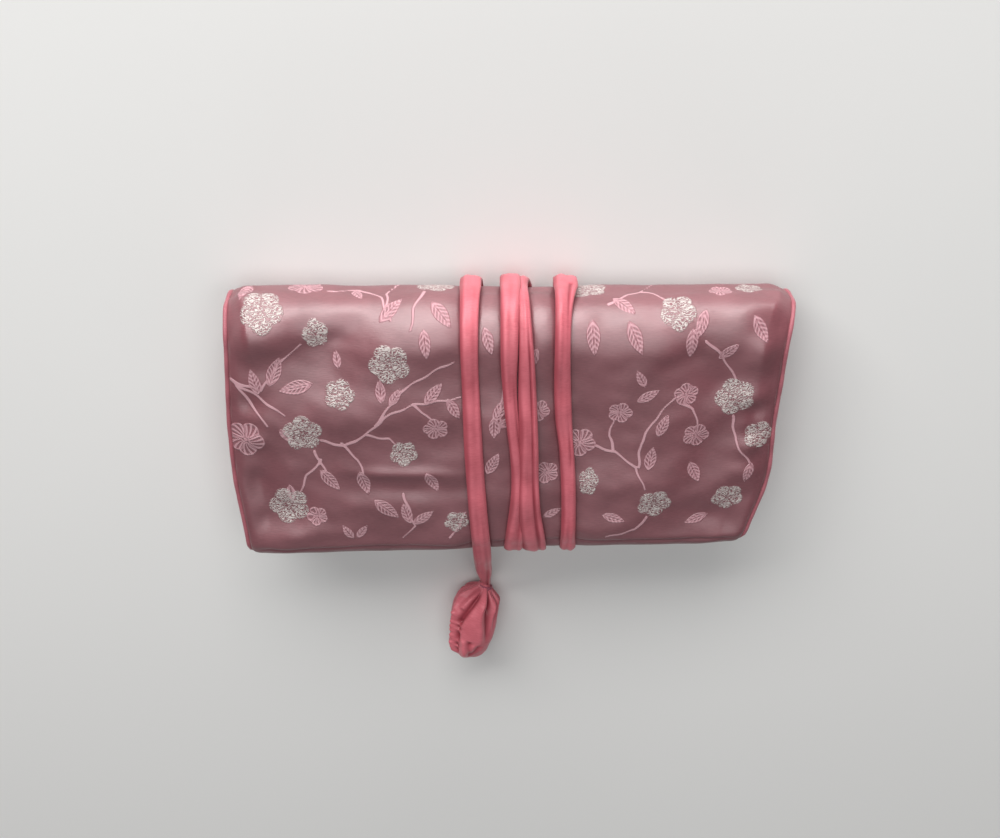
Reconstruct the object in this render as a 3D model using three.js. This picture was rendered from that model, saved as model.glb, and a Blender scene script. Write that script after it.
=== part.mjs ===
// A padded brocade jewelry roll, folded in three and tied, lying on its back.
// X runs along the roll, +Y towards the top fold, +Z up through the front face.
import * as THREE from 'three';

// Driving dimensions, in millimetres
const WIDTH = 190;
const HEIGHT = 98;
const THICKNESS = 34;
const COVER = 0.8;
const WADDING = 2.0;
const BACK_WADDING = 4.0;
const LINING = 0.6;
const PIPING = 2.4;
const TOP_RADIUS = 14;
const FOOT_RADIUS = 11;
const FOOT_HEIGHT = 24;
const HEM_RADIUS = 8;
const HEM_CORNER = 6;
const LIP_LENGTH = 36;
const SIDE_DROP = 2.2;
const LEVEL_HALF = 72;
const CORNER_STEPS = 6;
const PIPING_SIDES = 6;
const ROUND_SIDES = 14;

// Clearances
const SEAM = 0.3;
const FOLD_GAP = 0.7;
const TABLE_GAP = 0.2;
const CHANNEL_EASE = 0.1;
const CHANNEL_MARGIN = 1.5;

// Tie: a flat satin tube wound round the roll, with a stuffed bud on its end
const TIE_WIDTH = 9;
const TIE_THICK = 2;
const TIE_LOOPS = 4;
const TIE_PITCH = 11;
const TIE_DRIFT = 5;
const TIE_FIRST = 20;
const TIE_FOOT_BEND = 8;
const TIE_BACK_BEND = 10;
const TIE_LEAST_GAP = 0.4;
const CHANNEL_RAMP = 6;
const BUD_DIAMETER = 19.4;
const BUD_LENGTH = 31;
const BUD_LEAN = 15;
const NECK_WIDTH = 6;
const NECK_LENGTH = 2.5;
const BINDING = 1.2;
const BINDING_START = 0.4;
const BINDING_LENGTH = 1.6;
const TAIL_STEPS = 14;
const TAIL_GATHER = 0.7;

// Shares of the bud's half diameter and of its length, from its neck to its tip
const BUD_SHAPE = [[0.72, 0.21], [0.95, 0.375], [1, 0.52], [0.93, 0.68], [0.76, 0.84], [0.45, 0.965]];

// Zip pockets
const ZIP_TAPE = 150;
const ZIP_CHAIN = 140;
const TAPE_WIDTH = 7.2;
const TAPE_THICK = 0.5;
const TAPE_TURN = 3;
const COIL_WIDTH = 1.6;
const COIL_HEIGHT = 1.4;
const COIL_SHOULDER = 0.55;
const BRIDGE = 0.9;
const STOP_LENGTH = 2.4;
const SLIDER_LENGTH = 9;
const SLIDER_WIDTH = 7;
const SLIDER_PLATE = 0.8;
const PULL_LENGTH = 17;
const PULL_WIDTH = 5;
const PULL_THICK = 1;
const PULL_INSET = 1;
const PULL_NECK = 0.6;
const PULL_EYE = 0.45;
const POCKET_THICK = 1.2;
const POCKET_MARGIN = 4.5;
const BACK_ZIP_Y = 8;
const FLAP_ZIP_Y = 24;
const POCKET_FOOT_GAP = 2;
const FLAP_POCKET_DEPTH = 50;

// Ring bar and its snap
const BAR_DIAMETER = 12;
const BAR_LENGTH = 124;
const BAR_SKIN = 1;
const BAR_Y = 25;
const TAB_LENGTH = 20;
const TAB_WIDTH = 11;
const TAB_THICK = 1.2;
const TAB_LAP = 8;
const BAR_ROUND = 0.6;
const SNAP_DIAMETER = 8;
const SNAP_POST = 3;
const SNAP_EDGE = 1;
const SNAP_HEIGHT = 1.4;
const SNAP_FLANGE = 0.6;

// Places that follow from the sizes above
const WALL = COVER + SEAM + WADDING + SEAM + LINING;
const BACK_WALL = COVER + SEAM + BACK_WADDING + SEAM + LINING;
const PANEL_HALF = WIDTH / 2 - PIPING - SEAM;
const TOP_Y = HEIGHT / 2 - TOP_RADIUS;
const FOOT_Y = -HEIGHT / 2 + FOOT_RADIUS;
const HEM_Y = -HEIGHT / 2 + HEM_RADIUS;
const HEM_Z = THICKNESS - HEM_RADIUS;
const LIP_END_Y = FOOT_Y + LIP_LENGTH;
const TIE_OFFSET = SEAM + TIE_THICK / 2;
const TIE_LOW_Z = TABLE_GAP + TIE_THICK / 2;
const CHANNEL_DEPTH = TABLE_GAP + TIE_THICK + SEAM + CHANNEL_EASE;
const CHANNEL_LEFT = TIE_FIRST - TIE_PITCH * (TIE_LOOPS - 1) - TIE_WIDTH / 2 - CHANNEL_MARGIN;
const CHANNEL_RIGHT = TIE_FIRST + TIE_DRIFT + TIE_PITCH + TIE_WIDTH / 2 + CHANNEL_MARGIN;
const DEGREE = Math.PI / 180;

const FINISH = {
  brocade: new THREE.MeshStandardMaterial({ color: 0xb98a92, roughness: 0.5 }),
  wadding: new THREE.MeshStandardMaterial({ color: 0xf1ece6, roughness: 0.95 }),
  lining: new THREE.MeshStandardMaterial({ color: 0xd9929f, roughness: 0.4 }),
  tie: new THREE.MeshStandardMaterial({ color: 0xd76a7e, roughness: 0.35 }),
  tape: new THREE.MeshStandardMaterial({ color: 0xcf8190, roughness: 0.85 }),
  coil: new THREE.MeshStandardMaterial({ color: 0xc7717f, roughness: 0.55 }),
  metal: new THREE.MeshStandardMaterial({ color: 0xc9c9cc, roughness: 0.3, metalness: 1 }),
  thread: new THREE.MeshStandardMaterial({ color: 0xa84a5c, roughness: 0.7 }),
};

/** One named piece. */
function piece(name, geometry, finish) {
  const mesh = new THREE.Mesh(geometry, finish);
  mesh.name = name;
  return mesh;
}

/** A closed geometry from points and triangles, turned so that its faces point out. */
function closedBody(points, triangles) {
  let volume = 0;
  for (const [a, b, c] of triangles) {
    volume += points[a].dot(new THREE.Vector3().crossVectors(points[b], points[c]));
  }
  const index = triangles.flatMap(([a, b, c]) => (volume > 0 ? [a, b, c] : [a, c, b]));
  const geometry = new THREE.BufferGeometry().setFromPoints(points);
  geometry.setIndex(index);
  geometry.computeVertexNormals();
  return geometry;
}

/** Joins a row of closed rings of points into one capped body. */
function loft(rings) {
  const sides = rings[0].length;
  const points = rings.flat();
  const triangles = [];
  for (let i = 0; i + 1 < rings.length; i += 1) {
    for (let k = 0; k < sides; k += 1) {
      const a = i * sides + k;
      const b = i * sides + ((k + 1) % sides);
      triangles.push([a, b, a + sides], [b, b + sides, a + sides]);
    }
  }
  const last = (rings.length - 1) * sides;
  for (let k = 1; k + 1 < sides; k += 1) {
    triangles.push([0, k + 1, k], [last, last + k, last + k + 1]);
  }
  return closedBody(points, triangles);
}

/** 0 before low, 1 after high, straight between. */
function ramp(value, low, high) {
  return THREE.MathUtils.clamp((value - low) / (high - low), 0, 1);
}

/** How the soft roll settles: the tie lifts the back off the table, the front sinks to its sides. */
function settle(point, liftEnd = BACK_WALL - LINING) {
  const { x, y, z } = point;
  const inChannel =
    ramp(x, CHANNEL_LEFT - CHANNEL_RAMP, CHANNEL_LEFT) *
    (1 - ramp(x, CHANNEL_RIGHT, CHANNEL_RIGHT + CHANNEL_RAMP));
  const low = 1 - ramp(z, COVER, liftEnd);
  const side = ramp(Math.abs(x), LEVEL_HALF, PANEL_HALF);
  const high = ramp(z, THICKNESS / 2, THICKNESS);
  return new THREE.Vector3(x, y, z + CHANNEL_DEPTH * inChannel * low - SIDE_DROP * side * side * high);
}

/** Rows of an outline across the roll, each with its outward normal. */
function straight(y0, z0, y1, z1, normal, steps) {
  const rows = [];
  for (let i = 0; i <= steps; i += 1) {
    const t = i / steps;
    rows.push({ y: y0 + (y1 - y0) * t, z: z0 + (z1 - z0) * t, ny: normal[0], nz: normal[1] });
  }
  return rows;
}

function arc(y, z, radius, from, to, steps) {
  const rows = [];
  for (let i = 0; i <= steps; i += 1) {
    const angle = (from + ((to - from) * i) / steps) * DEGREE;
    const ny = Math.cos(angle);
    const nz = Math.sin(angle);
    rows.push({ y: y + radius * ny, z: z + radius * nz, ny, nz });
  }
  return rows;
}

/** Chains outlines, leaving out the row that two of them share. */
function chain(...parts) {
  return parts.reduce((rows, next) => rows.concat(next.slice(1)));
}

const OUTLINE = {
  back: straight(FOOT_Y + FOLD_GAP, 0, TOP_Y - FOLD_GAP, 0, [0, -1], 2),
  top: chain(
    arc(TOP_Y, TOP_RADIUS, TOP_RADIUS, -90, 0, 7),
    straight(HEIGHT / 2, TOP_RADIUS, HEIGHT / 2, THICKNESS - TOP_RADIUS, [1, 0], 1),
    arc(TOP_Y, THICKNESS - TOP_RADIUS, TOP_RADIUS, 0, 90, 7),
  ),
  flap: chain(
    straight(TOP_Y - FOLD_GAP, THICKNESS, HEM_Y, THICKNESS, [0, 1], 3),
    arc(HEM_Y, HEM_Z, HEM_RADIUS, 90, 180, 6),
  ),
  foot: chain(
    arc(FOOT_Y, FOOT_RADIUS, FOOT_RADIUS, 270, 180, 6),
    straight(-HEIGHT / 2, FOOT_RADIUS, -HEIGHT / 2, FOOT_HEIGHT - FOOT_RADIUS, [-1, 0], 1),
    arc(FOOT_Y, FOOT_HEIGHT - FOOT_RADIUS, FOOT_RADIUS, 180, 90, 6),
  ),
  lip: straight(FOOT_Y + FOLD_GAP, FOOT_HEIGHT, LIP_END_Y, FOOT_HEIGHT, [0, 1], 2),
};

/** Distance along an outline from each row to its last row. */
function distanceToEnd(rows) {
  const left = new Array(rows.length).fill(0);
  for (let i = rows.length - 2; i >= 0; i -= 1) {
    left[i] = left[i + 1] + Math.hypot(rows[i + 1].y - rows[i].y, rows[i + 1].z - rows[i].z);
  }
  return left;
}

/** Half width of a panel at a distance from its free edge, whose corners are round. */
function halfWidth(distance, corner) {
  const inset = Math.max(corner - distance, 0);
  return PANEL_HALF - corner + Math.sqrt(corner * corner - inset * inset);
}

/** Places across the width where a panel bends. */
function columns(half) {
  const middle = ((LEVEL_HALF + PANEL_HALF) / 2) * (half / PANEL_HALF);
  const left = [CHANNEL_LEFT - CHANNEL_RAMP, CHANNEL_LEFT];
  const right = [CHANNEL_RIGHT, CHANNEL_RIGHT + CHANNEL_RAMP];
  return [-half, -middle, -LEVEL_HALF, ...left, ...right, LEVEL_HALF, middle, half];
}

/** One cloth layer of a panel, between two depths below the outer face. */
function layer(rows, from, to, corner, liftEnd) {
  const left = distanceToEnd(rows);
  const rings = [];
  const widths = rows.map((row, i) => columns(halfWidth(left[i], corner)));
  const at = (row, x, depth) =>
    settle(new THREE.Vector3(x, row.y - row.ny * depth, row.z - row.nz * depth), liftEnd);
  rows.forEach((row, i) => {
    const outer = widths[i].map((x) => at(row, x, from));
    const inner = widths[i].map((x) => at(row, x, to)).reverse();
    rings.push([...outer, ...inner]);
  });
  return panelBody(rings, widths[0].length);
}

/** Rings that go out along one face of a sheet and back along the other. */
function panelBody(rings, count) {
  const size = 2 * count;
  const points = rings.flat();
  const triangles = [];
  for (let i = 0; i + 1 < rings.length; i += 1) {
    for (let k = 0; k < size; k += 1) {
      const a = i * size + k;
      const b = i * size + ((k + 1) % size);
      triangles.push([a, b, a + size], [b, b + size, a + size]);
    }
  }
  for (const [start, turn] of [[0, 1], [(rings.length - 1) * size, -1]]) {
    for (let k = 0; k + 1 < count; k += 1) {
      const a = start + k;
      const b = start + k + 1;
      const c = start + size - 2 - k;
      const d = start + size - 1 - k;
      triangles.push(turn > 0 ? [a, c, b] : [a, b, c], turn > 0 ? [a, d, c] : [a, c, d]);
    }
  }
  return closedBody(points, triangles);
}

/** Cover, wadding and lining of one panel. */
function panel(name, rows, { wadding = WADDING, corner = 0, liftEnd } = {}) {
  const inner = COVER + SEAM + wadding;
  const between = (from, to) => layer(rows, from, to, corner, liftEnd);
  return [
    piece(`${name}_cover`, between(0, COVER), FINISH.brocade),
    piece(`${name}_wadding`, between(COVER + SEAM, inner), FINISH.wadding),
    piece(`${name}_lining`, between(inner + SEAM, inner + SEAM + LINING), FINISH.lining),
  ];
}

/** A round tube through points, its rings carried along without twist. */
function tube(route, radius, sides) {
  const rings = [];
  let side = new THREE.Vector3(1, 0, 0);
  route.forEach((point, i) => {
    const before = route[Math.max(i - 1, 0)];
    const after = route[Math.min(i + 1, route.length - 1)];
    const along = new THREE.Vector3().subVectors(after, before).normalize();
    if (i === 0 && Math.abs(along.x) > Math.SQRT1_2) {
      side = new THREE.Vector3(0, 1, 0);
    }
    side = side.clone().addScaledVector(along, -side.dot(along)).normalize();
    const up = new THREE.Vector3().crossVectors(along, side);
    const ring = [];
    for (let k = 0; k < sides; k += 1) {
      const angle = (2 * Math.PI * k) / sides;
      const reach = side.clone().multiplyScalar(radius * Math.cos(angle));
      ring.push(reach.addScaledVector(up, radius * Math.sin(angle)).add(point));
    }
    rings.push(ring);
  });
  return loft(rings);
}

/** Points of the piping beside one edge of a panel, at the middle of its wall. */
function besideEdge(rows, side, wall) {
  const x = side * (PANEL_HALF + SEAM + PIPING / 2);
  return rows.map((row) =>
    settle(new THREE.Vector3(x, row.y - (row.ny * wall) / 2, row.z - (row.nz * wall) / 2)));
}

/** Piping down both sides of a panel, as two pieces. */
function sidePiping(name, rows, wall) {
  return [['left', -1], ['right', 1]].map(([word, side]) => {
    const cord = tube(besideEdge(rows, side, wall), PIPING / 2, PIPING_SIDES);
    return piece(`${name}_piping_${word}`, cord, FINISH.lining);
  });
}

/** The middle of a wall at a distance from its free edge, or past that edge where it is negative. */
function wallMiddle(rows, distance) {
  const left = distanceToEnd(rows);
  const middle = (row) => new THREE.Vector3(0, row.y - (row.ny * WALL) / 2, row.z - (row.nz * WALL) / 2);
  const end = middle(rows[rows.length - 1]);
  if (distance <= 0) {
    const ahead = end.clone().sub(middle(rows[rows.length - 2])).normalize();
    return end.addScaledVector(ahead, -distance);
  }
  const next = left.findIndex((value) => value < distance);
  const share = (distance - left[next]) / (left[next - 1] - left[next]);
  return middle(rows[next]).lerp(middle(rows[next - 1]), share);
}

/** Piping round the two sides and the free edge of a panel, as one piece. */
function roundPiping(name, rows, corner) {
  const bend = corner + SEAM + PIPING / 2;
  const left = distanceToEnd(rows);
  const down = besideEdge(rows.filter((row, i) => left[i] > bend), -1, WALL);
  const turn = [];
  for (let i = 0; i <= CORNER_STEPS; i += 1) {
    const angle = (i / CORNER_STEPS) * 90 * DEGREE;
    const point = wallMiddle(rows, corner - bend * Math.sin(angle));
    turn.push(settle(point.setX(-(PANEL_HALF - corner + bend * Math.cos(angle)))));
  }
  const half = [...down, ...turn];
  const mirrored = half.map((point) => new THREE.Vector3(-point.x, point.y, point.z)).reverse();
  return piece(`${name}_piping`, tube([...half, ...mirrored], PIPING / 2, PIPING_SIDES), FINISH.lining);
}

// The loop that the tie follows round the roll, from the hem down, under the back and over the top
const TIE_REACH = HEIGHT / 2 + TIE_OFFSET;
const TIE_UNDER = chain(
  straight(-TIE_REACH, HEM_Z - SEAM, -TIE_REACH, TIE_LOW_Z + TIE_FOOT_BEND, [-1, 0], 1),
  arc(-TIE_REACH + TIE_FOOT_BEND, TIE_LOW_Z + TIE_FOOT_BEND, TIE_FOOT_BEND, 180, 270, 6),
  straight(-TIE_REACH + TIE_FOOT_BEND, TIE_LOW_Z, TIE_REACH - TIE_BACK_BEND, TIE_LOW_Z, [0, -1], 3),
  arc(TIE_REACH - TIE_BACK_BEND, TIE_LOW_Z + TIE_BACK_BEND, TIE_BACK_BEND, 270, 360, 6),
  straight(TIE_REACH, TIE_LOW_Z + TIE_BACK_BEND, TIE_REACH, THICKNESS - TOP_RADIUS, [1, 0], 1),
  arc(TOP_Y, THICKNESS - TOP_RADIUS, TOP_RADIUS + TIE_OFFSET, 0, 90, 6),
);
const TIE_OVER = chain(
  straight(TOP_Y, THICKNESS + TIE_OFFSET, HEM_Y, THICKNESS + TIE_OFFSET, [0, 1], 4),
  arc(HEM_Y, HEM_Z, HEM_RADIUS + TIE_OFFSET, 90, 180, 6),
);

/** Gives each row of a stretch its place along X, even along its length. */
function drift(rows, from, to) {
  const left = distanceToEnd(rows);
  return rows.map((row, i) => ({ ...row, x: to + ((from - to) * left[i]) / left[0] }));
}

/** The whole winding, one row after another: each loop runs under, then over. */
function windingRows() {
  let rows = [];
  for (let loop = 0; loop < TIE_LOOPS; loop += 1) {
    const top = TIE_FIRST - TIE_PITCH * loop;
    const start = top + TIE_PITCH + TIE_DRIFT;
    const under = drift(TIE_UNDER, start, top);
    const over = drift(TIE_OVER, top, top + TIE_DRIFT);
    rows = rows.concat(rows.length ? under.slice(1) : under, over.slice(1));
  }
  return rows;
}

/** Six-sided rings of the flat tie, lying on the surface that it crosses. */
function strapRings(stations) {
  return stations.map(({ point, normal, width }, i) => {
    const before = stations[Math.max(i - 1, 0)].point;
    const after = stations[Math.min(i + 1, stations.length - 1)].point;
    const along = new THREE.Vector3().subVectors(after, before).normalize();
    const across = new THREE.Vector3().crossVectors(along, normal).normalize();
    const up = new THREE.Vector3().crossVectors(across, along);
    const edge = width / 2;
    const flat = edge - TIE_THICK / 2;
    const section = [[edge, 0], [flat, 1], [-flat, 1], [-edge, 0], [-flat, -1], [flat, -1]];
    return section.map(([w, h]) =>
      point.clone().addScaledVector(across, w).addScaledVector(up, (h * TIE_THICK) / 2));
  });
}

/** Prints the least gap between turns of the winding, taken between points on its surface. */
function reportLeastGap(rings) {
  const apart = Math.round(rings.length / TIE_LOOPS / 2);
  let least = Infinity;
  for (let i = 0; i < rings.length; i += 1) {
    for (let j = i + apart; j < rings.length; j += 1) {
      for (const a of rings[i]) {
        for (const b of rings[j]) {
          least = Math.min(least, a.distanceTo(b));
        }
      }
    }
  }
  const verdict = least > TIE_LEAST_GAP ? 'clear' : 'too close';
  console.log(`tie winding: least gap between turns ${least.toFixed(2)} mm, ${verdict}`);
}

function tieWraps() {
  const stations = windingRows().map(({ x, y, z, ny, nz }) => ({
    point: new THREE.Vector3(x, y, z),
    normal: new THREE.Vector3(0, ny, nz),
    width: TIE_WIDTH,
  }));
  const rings = strapRings(stations);
  reportLeastGap(rings);
  return piece('tie_wraps', loft(rings), FINISH.tie);
}

// Route of the free end, from the hem down to the bud on the table
const TAIL_X = TIE_FIRST - TIE_PITCH * (TIE_LOOPS - 1) + TIE_DRIFT;
const BUD_NECK = new THREE.Vector3(-6.6, -78.5, 6.0);
const TAIL_ROUTE = [
  new THREE.Vector3(TAIL_X, -TIE_REACH, HEM_Z - 2 * SEAM),
  new THREE.Vector3(-7.9, -52.2, 20.6),
  new THREE.Vector3(-7.7, -56.0, 14.2),
  new THREE.Vector3(-7.4, -61.5, 8.6),
  new THREE.Vector3(-7.1, -67.5, 5.2),
  new THREE.Vector3(-6.9, -73.0, 4.6),
  BUD_NECK,
];

function tieEnd() {
  const curve = new THREE.CatmullRomCurve3(TAIL_ROUTE);
  const stations = [];
  for (let i = 0; i <= TAIL_STEPS; i += 1) {
    const along = curve.getTangentAt(i / TAIL_STEPS);
    const gather = ramp(i / TAIL_STEPS, TAIL_GATHER, 1);
    stations.push({
      point: curve.getPointAt(i / TAIL_STEPS),
      normal: new THREE.Vector3(0, along.z, -along.y).normalize(),
      width: TIE_WIDTH + (NECK_WIDTH - TIE_WIDTH) * gather,
    });
  }
  const strap = loft(strapRings(stations));

  const girth = BUD_DIAMETER / 2;
  const neck = NECK_WIDTH / 2;
  const belly = BUD_SHAPE.map(([r, h]) => [girth * r, BUD_LENGTH * h]);
  const bud = turned([[0, 0], [neck, 0], [neck, NECK_LENGTH], ...belly, [0, BUD_LENGTH]], ROUND_SIDES);
  const hold = neck + SEAM;
  const outer = hold + BINDING;
  const from = BINDING_START;
  const to = BINDING_START + BINDING_LENGTH;
  const band = [[hold, from], [outer, from], [outer, to], [hold, to], [hold, from]];
  const binding = turned(band, ROUND_SIDES);

  const group = new THREE.Group();
  group.add(piece('bud', bud, FINISH.tie), piece('bud_binding', binding, FINISH.thread));
  const rest = girth + TABLE_GAP - BUD_NECK.z;
  const aim = new THREE.Vector3(
    -Math.sin(BUD_LEAN * DEGREE), -Math.cos(BUD_LEAN * DEGREE), rest / (BUD_LENGTH / 2)).normalize();
  group.quaternion.setFromUnitVectors(new THREE.Vector3(0, 1, 0), aim);
  group.position.copy(BUD_NECK).addScaledVector(aim, SEAM + TIE_THICK / 2);
  return [piece('tie_tail', strap, FINISH.tie), group];
}

/** A box from its low corner to its high corner. */
function block(low, high) {
  const size = high.map((value, i) => value - low[i]);
  const geometry = new THREE.BoxGeometry(...size);
  geometry.translate(...low.map((value, i) => value + size[i] / 2));
  return geometry;
}

/** An outline in Y and Z pushed along X between two places. */
function bar(outline, from, to) {
  const shape = new THREE.Shape(outline.map(([y, z]) => new THREE.Vector2(y, z)));
  const geometry = new THREE.ExtrudeGeometry(shape, { depth: to - from, bevelEnabled: false });
  geometry.rotateX(Math.PI / 2);
  geometry.rotateZ(Math.PI / 2);
  geometry.translate(from, 0, 0);
  return geometry;
}

// Heights of a zip above the lining that it is sewn to
const POCKET_TOP = SEAM + POCKET_THICK;
const TAPE_LOW = POCKET_TOP + SEAM;
const TAPE_TOP = TAPE_LOW + TAPE_THICK;
const COIL_TOP = TAPE_TOP + COIL_HEIGHT;
const WING_LOW = COIL_TOP + SEAM;
const WING_TOP = WING_LOW + SLIDER_PLATE;
const COIL_INNER = BRIDGE / 2 + SEAM;
const COIL_OUTER = COIL_INNER + COIL_WIDTH;
const SLIDER_REST = ZIP_CHAIN / 2 - SLIDER_LENGTH / 2 - SEAM;

/** The two tapes, two coils and two end stops of a zip, about its own centre line. */
function zipChain(name) {
  const pieces = [];
  for (const [word, side] of [['upper', 1], ['lower', -1]]) {
    const far = COIL_INNER + TAPE_WIDTH;
    const turned = word === 'upper' ? SEAM : TAPE_LOW;
    const tape = [
      [COIL_INNER, TAPE_LOW], [far - TAPE_TURN, TAPE_LOW], [far - TAPE_TURN, turned],
      [far, turned], [far, TAPE_TOP], [COIL_INNER, TAPE_TOP],
    ].filter(([y, z], i, all) => i === 0 || y !== all[i - 1][0] || z !== all[i - 1][1]);
    const flip = (points) => (side > 0 ? points : points.map(([y, z]) => [-y, z]).reverse());
    const tapeBar = bar(flip(tape), -ZIP_TAPE / 2, ZIP_TAPE / 2);
    pieces.push(piece(`${name}_tape_${word}`, tapeBar, FINISH.tape));
    const shoulder = TAPE_TOP + COIL_HEIGHT * COIL_SHOULDER;
    const round = COIL_WIDTH / 4;
    const coil = [
      [COIL_INNER, TAPE_TOP], [COIL_OUTER, TAPE_TOP], [COIL_OUTER, shoulder],
      [COIL_OUTER - round, COIL_TOP], [COIL_INNER + round, COIL_TOP], [COIL_INNER, shoulder],
    ];
    const coilBar = bar(flip(coil), -ZIP_CHAIN / 2, ZIP_CHAIN / 2);
    pieces.push(piece(`${name}_coil_${word}`, coilBar, FINISH.coil));
  }
  const end = ZIP_CHAIN / 2 + SEAM;
  for (const [word, from] of [['left', -end - STOP_LENGTH], ['right', end]]) {
    const stop = block([from, -COIL_OUTER, TAPE_TOP], [from + STOP_LENGTH, COIL_OUTER, COIL_TOP]);
    pieces.push(piece(`${name}_stop_${word}`, stop, FINISH.metal));
  }
  return pieces;
}

/** A slider with wings above and below the coils and a bridge between them, and its pull. */
function zipSlider(name) {
  const wing = SLIDER_WIDTH / 2;
  const inside = wing - SLIDER_PLATE;
  const flange = TAPE_TOP + SEAM;
  const lowTop = TAPE_LOW - SEAM;
  const lowBottom = lowTop - SLIDER_PLATE;
  const half = SLIDER_LENGTH / 2;
  const post = BRIDGE / 2;
  const section = [
    [-inside, lowBottom], [inside, lowBottom], [inside, lowTop], [post, lowTop], [post, WING_LOW],
    [inside, WING_LOW], [inside, flange], [wing, flange], [wing, WING_TOP], [-wing, WING_TOP],
    [-wing, flange], [-inside, flange], [-inside, WING_LOW], [-post, WING_LOW], [-post, lowTop],
    [-inside, lowTop],
  ];
  const body = bar(section, -half, half);
  const hold = PULL_WIDTH / 2;
  const low = WING_TOP + SEAM;
  const near = half - PULL_INSET;
  const end = near - PULL_LENGTH + hold;
  const outline = new THREE.Shape();
  outline.moveTo(near, -hold * PULL_NECK);
  outline.lineTo(near, hold * PULL_NECK);
  outline.lineTo(end, hold);
  outline.absarc(end, 0, hold, Math.PI / 2, Math.PI * 1.5, false);
  const eye = new THREE.Path();
  eye.absarc(end, 0, hold * PULL_EYE, 0, Math.PI * 2, true);
  outline.holes.push(eye);
  const solid = { depth: PULL_THICK, bevelEnabled: false, curveSegments: 6 };
  const pull = new THREE.ExtrudeGeometry(outline, solid);
  pull.translate(0, 0, low);
  const group = new THREE.Group();
  group.add(piece(`${name}_slider`, body, FINISH.metal), piece(`${name}_pull`, pull, FINISH.metal));
  group.position.x = SLIDER_REST;
  return group;
}

/** A zip pocket on a lining: the pocket lies below the zip, towards the hem or the foot. */
function zipPocket(name, zipY, depth) {
  const group = new THREE.Group();
  const far = -POCKET_MARGIN - depth;
  const half = ZIP_TAPE / 2;
  const pocket = block([-half, far, SEAM], [half, -POCKET_MARGIN, POCKET_TOP]);
  group.add(piece(`${name}_pocket`, pocket, FINISH.lining));
  group.add(...zipChain(`${name}_zip`), zipSlider(`${name}_zip`));
  group.position.y = zipY;
  return group;
}

/** The back's pocket faces up from its lining. */
function backPocket() {
  const depth = BACK_ZIP_Y - POCKET_MARGIN - (FOOT_Y + POCKET_FOOT_GAP);
  const group = zipPocket('back', BACK_ZIP_Y, depth);
  group.position.z = BACK_WALL;
  return group;
}

/** The flap's pocket faces down from its lining, with its mouth towards the top fold. */
function flapPocket() {
  const group = zipPocket('flap', FLAP_ZIP_Y, FLAP_POCKET_DEPTH);
  group.rotation.y = Math.PI;
  group.position.z = THICKNESS - WALL;
  return group;
}

/** A patch pocket on the inner lip's lining, which faces down while the roll is closed. */
function lipPocket() {
  const margin = POCKET_MARGIN;
  const top = FOOT_HEIGHT - WALL - SEAM;
  const low = [-ZIP_TAPE / 2, FOOT_Y + margin, top - POCKET_THICK];
  return piece('lip_pocket', block(low, [ZIP_TAPE / 2, LIP_END_Y - margin, top]), FINISH.lining);
}

// Heights of the snap and of the ring bar's tabs above the back's lining
const SOCKET_LOW = BACK_WALL + SEAM;
const SOCKET_TOP = SOCKET_LOW + SNAP_HEIGHT;
const STUD_LOW = SOCKET_TOP + SEAM;
const TAB_LOW = STUD_LOW + SNAP_FLANGE + SEAM;
const TAB_TOP = TAB_LOW + TAB_THICK;
const SNAP_X = BAR_LENGTH / 2 + TAB_LENGTH - TAB_LAP - SNAP_DIAMETER / 2 - SNAP_EDGE;

/** A solid of revolution about a line, from radii and heights. */
function turned(outline, sides) {
  return new THREE.LatheGeometry(outline.map(([r, h]) => new THREE.Vector2(r, h)), sides);
}

/** A padded bar that finger rings slide on, sewn down at its left end and snapped at its right. */
function ringBar() {
  const radius = BAR_DIAMETER / 2;
  const half = BAR_LENGTH / 2;
  const open = radius - BAR_SKIN;
  const fill = open - SEAM;
  const skin = [
    [open, -half], [radius - BAR_ROUND, -half], [radius, -half + BAR_ROUND],
    [radius, half - BAR_ROUND], [radius - BAR_ROUND, half], [open, half], [open, -half],
  ];
  const core = [[0, -half], [fill, -half], [fill, half], [0, half]];
  const group = new THREE.Group();
  const pieces = [['ring_bar_cover', skin, FINISH.lining], ['ring_bar_core', core, FINISH.wadding]];
  for (const [name, outline, finish] of pieces) {
    const geometry = turned(outline, ROUND_SIDES);
    geometry.rotateZ(-Math.PI / 2);
    const mesh = piece(name, geometry, finish);
    mesh.position.set(0, BAR_Y, TAB_TOP + SEAM + radius);
    group.add(mesh);
  }
  const tabs = [['sewn', -half - TAB_LENGTH + TAB_LAP, SOCKET_LOW], ['snap', half - TAB_LAP, TAB_LOW]];
  for (const [word, from, floor] of tabs) {
    const low = [from, BAR_Y - TAB_WIDTH / 2, floor];
    const high = [from + TAB_LENGTH, BAR_Y + TAB_WIDTH / 2, TAB_TOP];
    group.add(piece(`ring_bar_${word}_tab`, block(low, high), FINISH.lining));
  }
  return group;
}

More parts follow.
